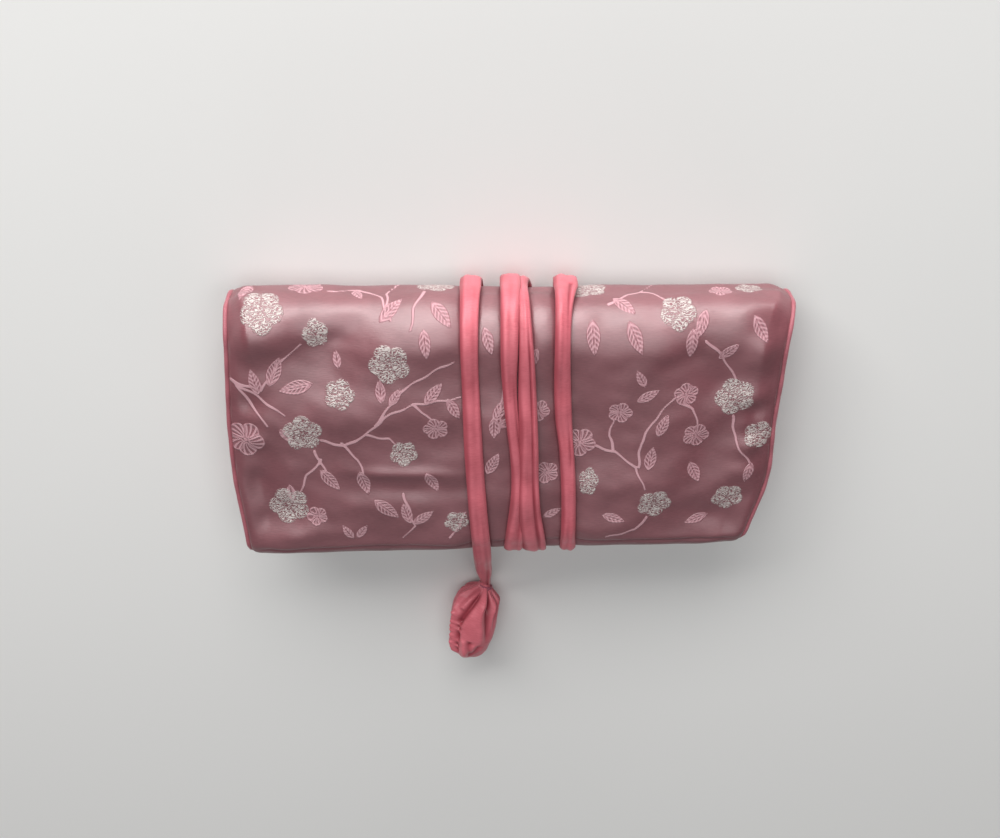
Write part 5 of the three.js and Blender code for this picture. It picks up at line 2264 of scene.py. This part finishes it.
@dataclass
class RingBar(Assembly):
    """The padded ring bar with its two tabs and its snap.

    The tabs run along paths in X and Z. The discs of the snap are shaped by steps inwards and then up.
    """
    tab_thick: float = 1.0
    tab_grid: tuple[int, int] = (21, 13)
    tab_soft: int = 2
    tab_hem: float = 0.25
    tab_hem_span: tuple[float, float] = (4.4, 5.6)
    gather: float = 9.0
    crowding: float = 1.5
    end_taper: float = 0.5
    taper_power: float = 3.2
    end_close: float = 0.72
    close_span: tuple[float, float] = (0.93, 1.0)
    pleats: int = 11
    pleat_depth: float = 0.07
    ripple_depth: float = 0.012
    ripple_length: float = 3.2
    ripple_bend: float = 2.0
    bar_rings: int = 150
    bar_sides: int = 56
    sewn_path: tuple[tuple[float, float], ...] = ((-74, 6.9), (-68, 7.0), (-63, 8.4), (-58, 9.4), (-54, 9.6))
    snap_path: tuple[tuple[float, float], ...] = ((54, 9.6), (60, 9.6), (67, 9.5), (74, 9.5))
    snap_radius: float = 4.0
    snap_sides: int = 40
    snap_round: float = 0.16
    facing_up: float = 0.9
    cap_steps: tuple[tuple[float, float], ...] = ((0.5, 0.0), (0.7, -0.25), (0.6, 0.15))
    socket_steps: tuple[tuple[float, float], ...] = ((0.5, 0.0), (0.9, -0.2), (0.7, -0.55))

    def build(self) -> None:
        """Makes the bar, its tabs and the snap, of which the stud keeps its own mesh."""
        self.bar()
        self.tab("ring_bar_sewn_tab", "back", self.sewn_path)
        self.tab("ring_bar_snap_tab", "ring_bar", self.snap_path)
        self.disc("snap_cap", "dome", "ring_bar", self.cap_steps)
        self.disc("snap_socket", "ring", "back", self.socket_steps)
        self.wear(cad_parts["snap_stud"], "metal")

    def bar(self) -> None:
        """Makes the padded bar, gathered at both ends."""
        low, high = box_of("ring_bar_cover")
        middle, half = (low + high) / 2, (high[0] - low[0]) / 2
        girth = (high[2] - low[2]) / 2
        angle = np.linspace(0, FULL_TURN, self.bar_sides, endpoint=False)[None, :]
        t = np.linspace(-1, 1, self.bar_rings)[:, None]
        x = half * np.sign(t) * (1 - (1 - np.abs(t)) ** self.crowding)
        end = np.clip((np.abs(x) - (half - self.gather)) / self.gather, 0, 1)
        closed = self.end_close * smooth(end, *self.close_span)
        radius = girth * (1 - self.end_taper * end ** self.taper_power) * (1 - closed)
        pleat = 1 + self.pleat_depth * end * np.sin(self.pleats * angle + np.sign(t))
        ripple = np.sin(x / self.ripple_length + self.ripple_bend * np.sin(angle))
        pleat = pleat + self.ripple_depth * ripple
        radius = np.minimum(radius * pleat, girth)
        rings = np.stack(np.broadcast_arrays(middle[0] + x, middle[1] + radius * np.cos(angle),
                                             middle[2] + radius * np.sin(angle)), -1)
        places = np.stack(np.broadcast_arrays(angle * girth, x), -1)
        piece = Meshes.rings("ring_bar_padded", [(rings, places)])
        self.dress(piece, "lining", "lining", ("ring_bar_cover", "ring_bar_core"), "ring_bar")

    def tab(self, node: str, body: str, path: Sequence[tuple[float, float]]) -> None:
        """Makes one satin tab along a path in X and Z.

        Args:
            node: the node that it stands for.
            body: the body that it rides on.
            path: its corners.
        """
        low, high = box_of(node)
        steps, z = zip(*path)
        line = np.linspace(path[0][0], path[-1][0], self.tab_grid[0])
        rows = np.linspace(low[1], high[1], self.tab_grid[1])
        window = np.ones(2 * self.tab_soft + 1) / (2 * self.tab_soft + 1)
        z = np.convolve(np.pad(np.interp(line, steps, z), self.tab_soft, mode="edge"), window, "valid")
        x, y = np.meshgrid(line, rows, indexing="ij")
        hem = self.tab_hem * smooth(np.abs(y - rows.mean()), *self.tab_hem_span)
        z = z[:, None] + self.tab_thick / 2 - hem
        front = np.stack([x, y, z], -1)
        out = np.broadcast_to((0.0, 0.0, 1.0), front.shape)
        piece = Meshes.sheet(f"{node}_satin", front, out, self.tab_thick, np.stack([x, y], -1))
        self.dress(piece, "lining", "lining", (node,), body)

    def disc(self, node: str, word: str, body: str, steps: Sequence[tuple[float, float]]) -> None:
        """Turns a disc on a node's middle by inset and push steps on its upper face.

        Args:
            node: the node that it stands for.
            word: added to the node's name for the name of the piece.
            body: the body that it rides on.
            steps: how far each step goes in, and how far it then goes up.
        """
        low, high = box_of(node)
        piece = Bench.add(bpy.ops.mesh.primitive_cylinder_add, (low + high) / 2, vertices=self.snap_sides,
                          radius=self.snap_radius * MM, depth=(high[2] - low[2]) * MM)
        piece.name = piece.data.name = f"{node}_{word}"
        work = bmesh.from_edit_mesh(piece.data)
        for face in work.faces:
            face.select_set(face.normal.z > self.facing_up)
        bmesh.update_edit_mesh(piece.data)
        for inward, upward in steps:
            bpy.ops.mesh.inset(thickness=inward * MM)
            bpy.ops.transform.translate(value=(0, 0, upward * MM))
        bpy.ops.mesh.select_all(action="SELECT")
        self.dress(Bench.soften(piece, self.snap_round), "metal", "metal", (node,), body)


@dataclass(frozen=True)
class Lamp:
    """A soft box, in metres and watts; glossy tells whether shiny cloth mirrors it."""
    name: str
    place: tuple[float, float, float]
    size: tuple[float, float]
    power: float
    colour: Colour = (1.0, 1.0, 1.0)
    glossy: bool = True

    def hang(self, aim: Vector) -> None:
        """Hangs the lamp so that it faces a place.

        Args:
            aim: the place.
        """
        light = bpy.data.lights.new(self.name, "AREA")
        light.shape = "RECTANGLE"
        light.size, light.size_y = self.size
        light.energy = self.power
        light.color = self.colour
        lamp = put(self.name, light)
        lamp.visible_glossy = self.glossy
        turn = (Vector(self.place) - aim).to_track_quat("Z", "Y").to_matrix().to_4x4()
        lamp.matrix_world = Matrix.Translation(self.place) @ turn


WARM = (1.0, 0.985, 0.97)
LAMPS = (
    Lamp("key", (-0.35, 1.15, 0.7), (1.5, 0.6), 20.0, WARM),
    Lamp("low", (0.1, 1.3, 0.12), (1.8, 0.2), 9.0, WARM),
    Lamp("wash", (0.1, 1.3, 0.1), (1.8, 0.18), 9.0, WARM, glossy=False),
    Lamp("overhead", (0.0, 0.25, 0.84), (0.8, 0.5), 3.0),
    Lamp("front", (0.1, -1.2, 0.3), (1.4, 0.4), 3.5, glossy=False),
)


@dataclass
class Studio:
    """The table, lights and camera, in metres and degrees.

    The focal length and the image's width are in pixels, and the sensor is in millimetres.
    """
    tilt: float = 31.0
    distance: float = 0.540
    focal: float = 1513.5
    image_width: float = 1000.0
    sensor: float = 36.0
    near: float = 0.01
    target: tuple[float, float, float] = (-0.0018, -0.0002, 0.017)
    aim: tuple[float, float, float] = (0.0, 0.0, 0.017)
    sky: Colour = (0.95, 0.97, 1.0)
    sky_strength: float = 0.1
    table: float = 6.0

    def camera(self) -> None:
        """Looks down on the front and the top fold."""
        tilt = math.radians(self.tilt)
        back = Vector((0, math.sin(tilt), math.cos(tilt)))
        up = Vector((0, math.cos(tilt), -math.sin(tilt)))
        lens = bpy.data.cameras.new("camera")
        lens.sensor_width = self.sensor
        lens.lens = self.focal * self.sensor / self.image_width
        lens.clip_start = self.near
        camera = put("camera", lens)
        turn = Matrix((up.cross(back), up, back)).transposed().to_4x4()
        camera.matrix_world = Matrix.Translation(Vector(self.target) + back * self.distance) @ turn
        bpy.context.scene.camera = camera

    def build(self) -> None:
        """Sets the world, the lights and the table."""
        scene = bpy.context.scene
        scene.view_settings.view_transform = "Standard"
        scene.world = bpy.data.worlds.new("studio")
        scene.world.use_nodes = True
        sky = scene.world.node_tree.nodes["Background"].inputs
        sky["Color"].default_value = (*self.sky, 1.0)
        sky["Strength"].default_value = self.sky_strength
        for lamp in LAMPS:
            lamp.hang(Vector(self.aim))
        bpy.ops.object.select_all(action="DESELECT")
        bpy.ops.mesh.primitive_plane_add(size=self.table, location=(0, 0, 0))
        table = bpy.context.object
        table.name = "table"
        table.data.materials.append(FloorFinish().build())


def build_finishes() -> dict[str, Material]:
    """Makes every finish once.

    Returns:
        The materials, by a short name.
    """
    finishes = {
        "brocade": BrocadeFinish(),
        "lining": SatinFinish("rose_satin", (0.60, 0.25, 0.31), (0.52, 0.20, 0.26)),
        "piping": SatinFinish("piping_satin", (0.36, 0.115, 0.14), (0.29, 0.085, 0.105), roughness=0.42),
        # The tie's third colour is painted shade, for its grooves, folds and sides.
        "tie": SatinFinish("coral_satin", (0.59, 0.15, 0.185), (0.48, 0.108, 0.135), sheen=0.03,
                           painted_shade=(0.27, 0.04, 0.056)),
        "thread": WovenFinish("sewing_thread", (0.42, 0.11, 0.16), (0.30, 0.07, 0.11),
                              ribs=3200.0, turn=30.0),
        "tape": WovenFinish("zip_tape", (0.56, 0.23, 0.29), (0.44, 0.16, 0.21)),
        "metal": MetalFinish(),
        "nylon": NylonFinish(),
    }
    return {name: finish.build() for name, finish in finishes.items()}


def main() -> None:
    """Sets the camera, builds the tie and then every other piece, and lights them on the table."""
    logging.basicConfig(level=logging.INFO, format="%(name)s %(message)s")
    studio = Studio()
    studio.camera()
    finishes = build_finishes()
    form = RollForm(RollSizes())
    SatinTie(finishes, form).build()
    PaddedCloth(finishes, form).build()
    back_zip = ZipPocket(finishes, "back", 1)
    back_zip.build()
    ZipPocket(finishes, "flap", -1, models=back_zip.models).build()
    Pocket(finishes, "lip", -1).build()
    RingBar(finishes).build()
    studio.build()


if __name__ == "__main__":
    main()
